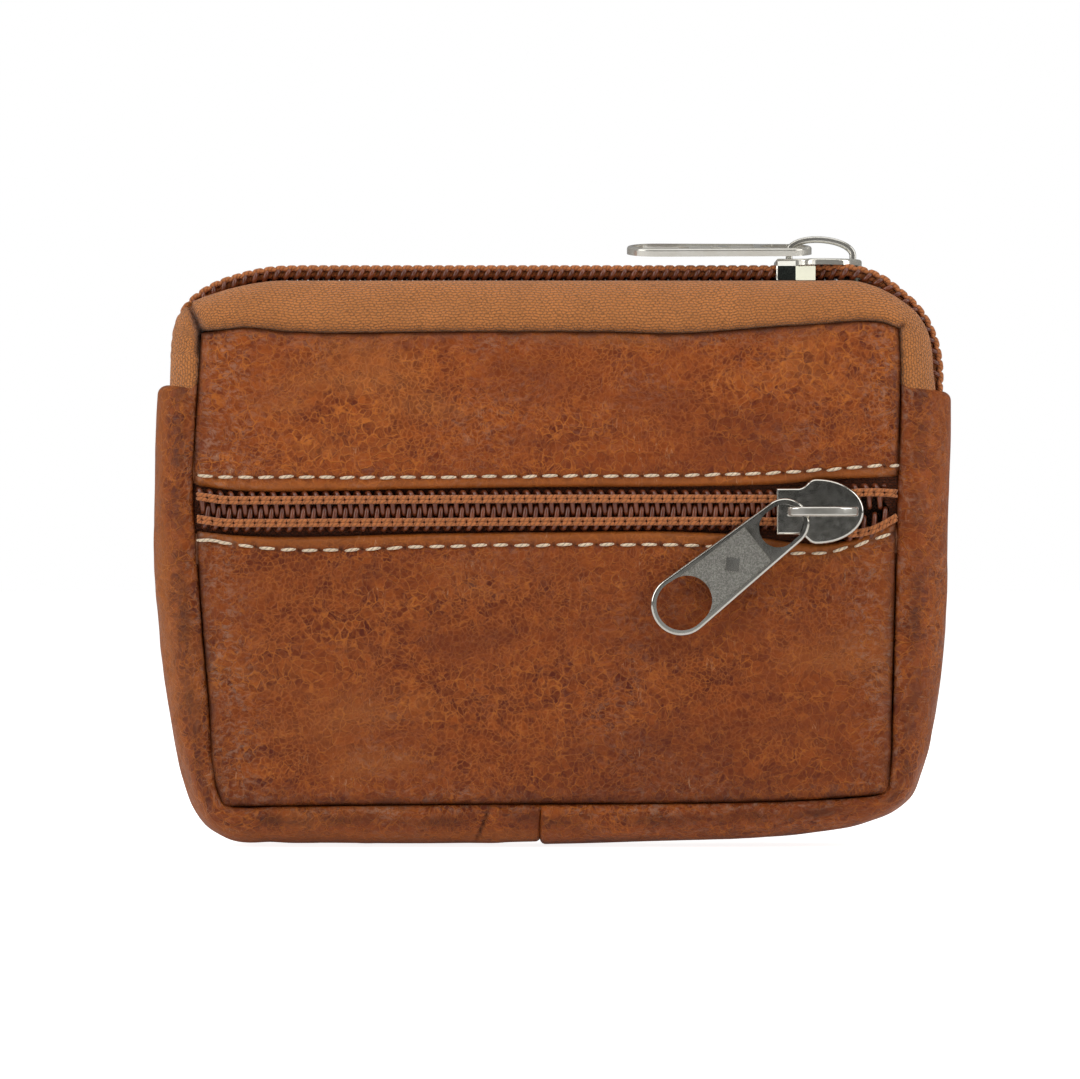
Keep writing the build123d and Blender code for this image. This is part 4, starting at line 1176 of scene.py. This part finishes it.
def strip_lining():
    """Cloth that lines the side strips and the bottom inside the pouch."""
    line, along = path([(x, z, 0) for x, z in (
        (-47.3, 61.5), (-47.8, 50), (-47.3, 38), (-46.0, 20), (-45.0, 10.5), (-44, 8.4), (-42, 7.6),
        (-20, 7.4), (0, 7.4), (20, 7.6), (41, 8.6), (43.8, 9.4), (44.8, 11.5), (45.4, 20),
        (45.9, 38), (46.2, 50), (46.3, 61.5))], 0.8)
    y = np.linspace(-3.3, 6.0, 14)
    grid = np.zeros((len(line), len(y), 3))
    centre = np.array([0.0, 38.0])
    inward = centre - line[:, :2]
    inward /= np.linalg.norm(inward, axis=1, keepdims=True)
    sag = 0.3 * field(along[:, None], y[None, :], 5.0, 81)
    grid[..., 0] = line[:, 0][:, None] + inward[:, 0][:, None] * sag
    grid[..., 2] = line[:, 1][:, None] + inward[:, 1][:, None] * sag
    grid[..., 1] = y[None, :]
    texture = np.stack([along[:, None] * np.ones(len(y)), grid[..., 1], np.zeros(sag.shape)], -1)
    cloth = paint(sheet("lining_strip", grid, texture, 0.2, toward=(0, 0, 38)), LINING)
    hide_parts("gusset_lining")
    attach(cloth, "pouch")


strip_lining()


# ---------------------------------------------------------------- metal

def pull_plane(node, normal):
    """A pull's middle, in millimetres, and its normal."""
    low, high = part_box(node)
    return tuple((a + b) / 2 / MM for a, b in zip(low, high)), normal


ROLL = math.radians(9)
METAL = {
    "main_zip_slider": slider_material(), "main_zip_bail": BRIGHT_NICKEL,
    "front_zip_slider": NICKEL, "front_zip_bail": BRIGHT_NICKEL,
    # The main pull's matte field is painted lighter than the front pull's, as painted light: it lies face up under
    # the overhead lamp.
    "main_zip_pull": metal_material(
        "nickel_main_pull", pull_plane("main_zip_pull", (0.0, -math.sin(ROLL), math.cos(ROLL))),
        ((190, 187, 178), (226, 223, 214)), 0.00003, 0.6),
    "front_zip_pull": metal_material(
        "nickel_front_pull", pull_plane("front_zip_pull", (0.0, -1.0, 0.0))),
}
for node, metal in METAL.items():
    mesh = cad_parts[node].data
    mesh.materials.clear()
    mesh.materials.append(metal)


# ---------------------------------------------------------------- stage, light and camera

def plane(name, size, location, rotation=(0, 0, 0)):
    mesh = bpy.data.meshes.new(name)
    s = size / 2
    mesh.from_pydata([(-s, -s, 0), (s, -s, 0), (s, s, 0), (-s, s, 0)], [], [(0, 1, 2, 3)])
    obj = bpy.data.objects.new(name, mesh)
    obj.location, obj.rotation_euler = location, rotation
    bpy.context.scene.collection.objects.link(obj)
    return obj


floor = plane("floor", 6.0, (0, 0, -0.0002))
n = Nodes("floor_pale")
tint = n.mix(n.ramp(n.noise(n.node("ShaderNodeTexCoord", output="Object"), 3.0), 0.3, 0.7, 0.0, 0.02),
             (0.90, 0.90, 0.90, 1), (0.86, 0.86, 0.86, 1))
# The floor shows as white as the studio around it, and throws less light on the pouch than that.
seen_directly = n.node("ShaderNodeLightPath")
glow = n.math("MULTIPLY_ADD", seen_directly, 0.75, 0.12)
floor.data.materials.append(n.finish(Base_Color=tint, Roughness=0.9, Specular_IOR_Level=0.1,
                                     Emission_Color=(1, 1, 1, 1), Emission_Strength=glow))


def area_light(name, location, target, size, power, size_y=None):
    data = bpy.data.lights.new(name, "AREA")
    data.shape = "RECTANGLE"
    data.size, data.size_y = size, size_y or size
    data.energy = power
    obj = bpy.data.objects.new(name, data)
    obj.location = location
    direction = np.array(target, float) - np.array(location, float)
    from mathutils import Vector
    obj.rotation_euler = Vector(direction).to_track_quat("-Z", "Y").to_euler()
    bpy.context.scene.collection.objects.link(obj)


area_light("left_box", (-0.62, -0.34, 0.40), (0, 0, 0.04), 0.45, 2.4, 0.6)
area_light("right_box", (0.66, -0.40, 0.36), (0, 0, 0.04), 0.45, 2.1, 0.6)
area_light("overhead", (0.0, -0.20, 0.85), (0, 0, 0.04), 0.9, 3.0)

world = bpy.data.worlds.new("studio")
bpy.context.scene.world = world
world.use_nodes = True
tree = world.node_tree
tree.nodes.clear()
out = tree.nodes.new("ShaderNodeOutputWorld")
light_path = tree.nodes.new("ShaderNodeLightPath")
mix = tree.nodes.new("ShaderNodeMixShader")
seen, lit = tree.nodes.new("ShaderNodeBackground"), tree.nodes.new("ShaderNodeBackground")
seen.inputs[0].default_value, seen.inputs[1].default_value = (1, 1, 1, 1), 1.0
coordinates = tree.nodes.new("ShaderNodeTexCoord")
separate = tree.nodes.new("ShaderNodeSeparateXYZ")
front = tree.nodes.new("ShaderNodeMapRange")
front.inputs[1].default_value, front.inputs[2].default_value = -0.985, -0.80
front.inputs[3].default_value, front.inputs[4].default_value = 0.03, 0.24
front.interpolation_type = "SMOOTHSTEP"
tree.links.new(coordinates.outputs["Generated"], separate.inputs[0])
tree.links.new(separate.outputs[1], front.inputs[0])
lit.inputs[0].default_value = (1.0, 0.99, 0.97, 1)
tree.links.new(front.outputs[0], lit.inputs[1])
tree.links.new(light_path.outputs["Is Camera Ray"], mix.inputs[0])
tree.links.new(lit.outputs[0], mix.inputs[1])
tree.links.new(seen.outputs[0], mix.inputs[2])
tree.links.new(mix.outputs[0], out.inputs[0])

bpy.context.scene.view_settings.view_transform = "Standard"
bpy.context.scene.view_settings.look = "None"

PIXELS_PER_MM = 7.25
LENS = 150.0
camera_data = bpy.data.cameras.new("camera")
camera_data.lens = LENS
camera_data.sensor_width = 36.0
camera_data.clip_start, camera_data.clip_end = 0.01, 20.0
width_mm = 1080 / PIXELS_PER_MM
distance = width_mm * LENS / 36.0
camera = bpy.data.objects.new("camera", camera_data)
camera.location = ((540 - 553) / PIXELS_PER_MM * MM, (MIDDLE_Y - PANEL_Y - distance) * MM,
                   (848 - 539.5) / PIXELS_PER_MM * MM)
camera.rotation_euler = (math.radians(90), 0, 0)
bpy.context.scene.collection.objects.link(camera)
bpy.context.scene.camera = camera

bpy.context.view_layer.update()
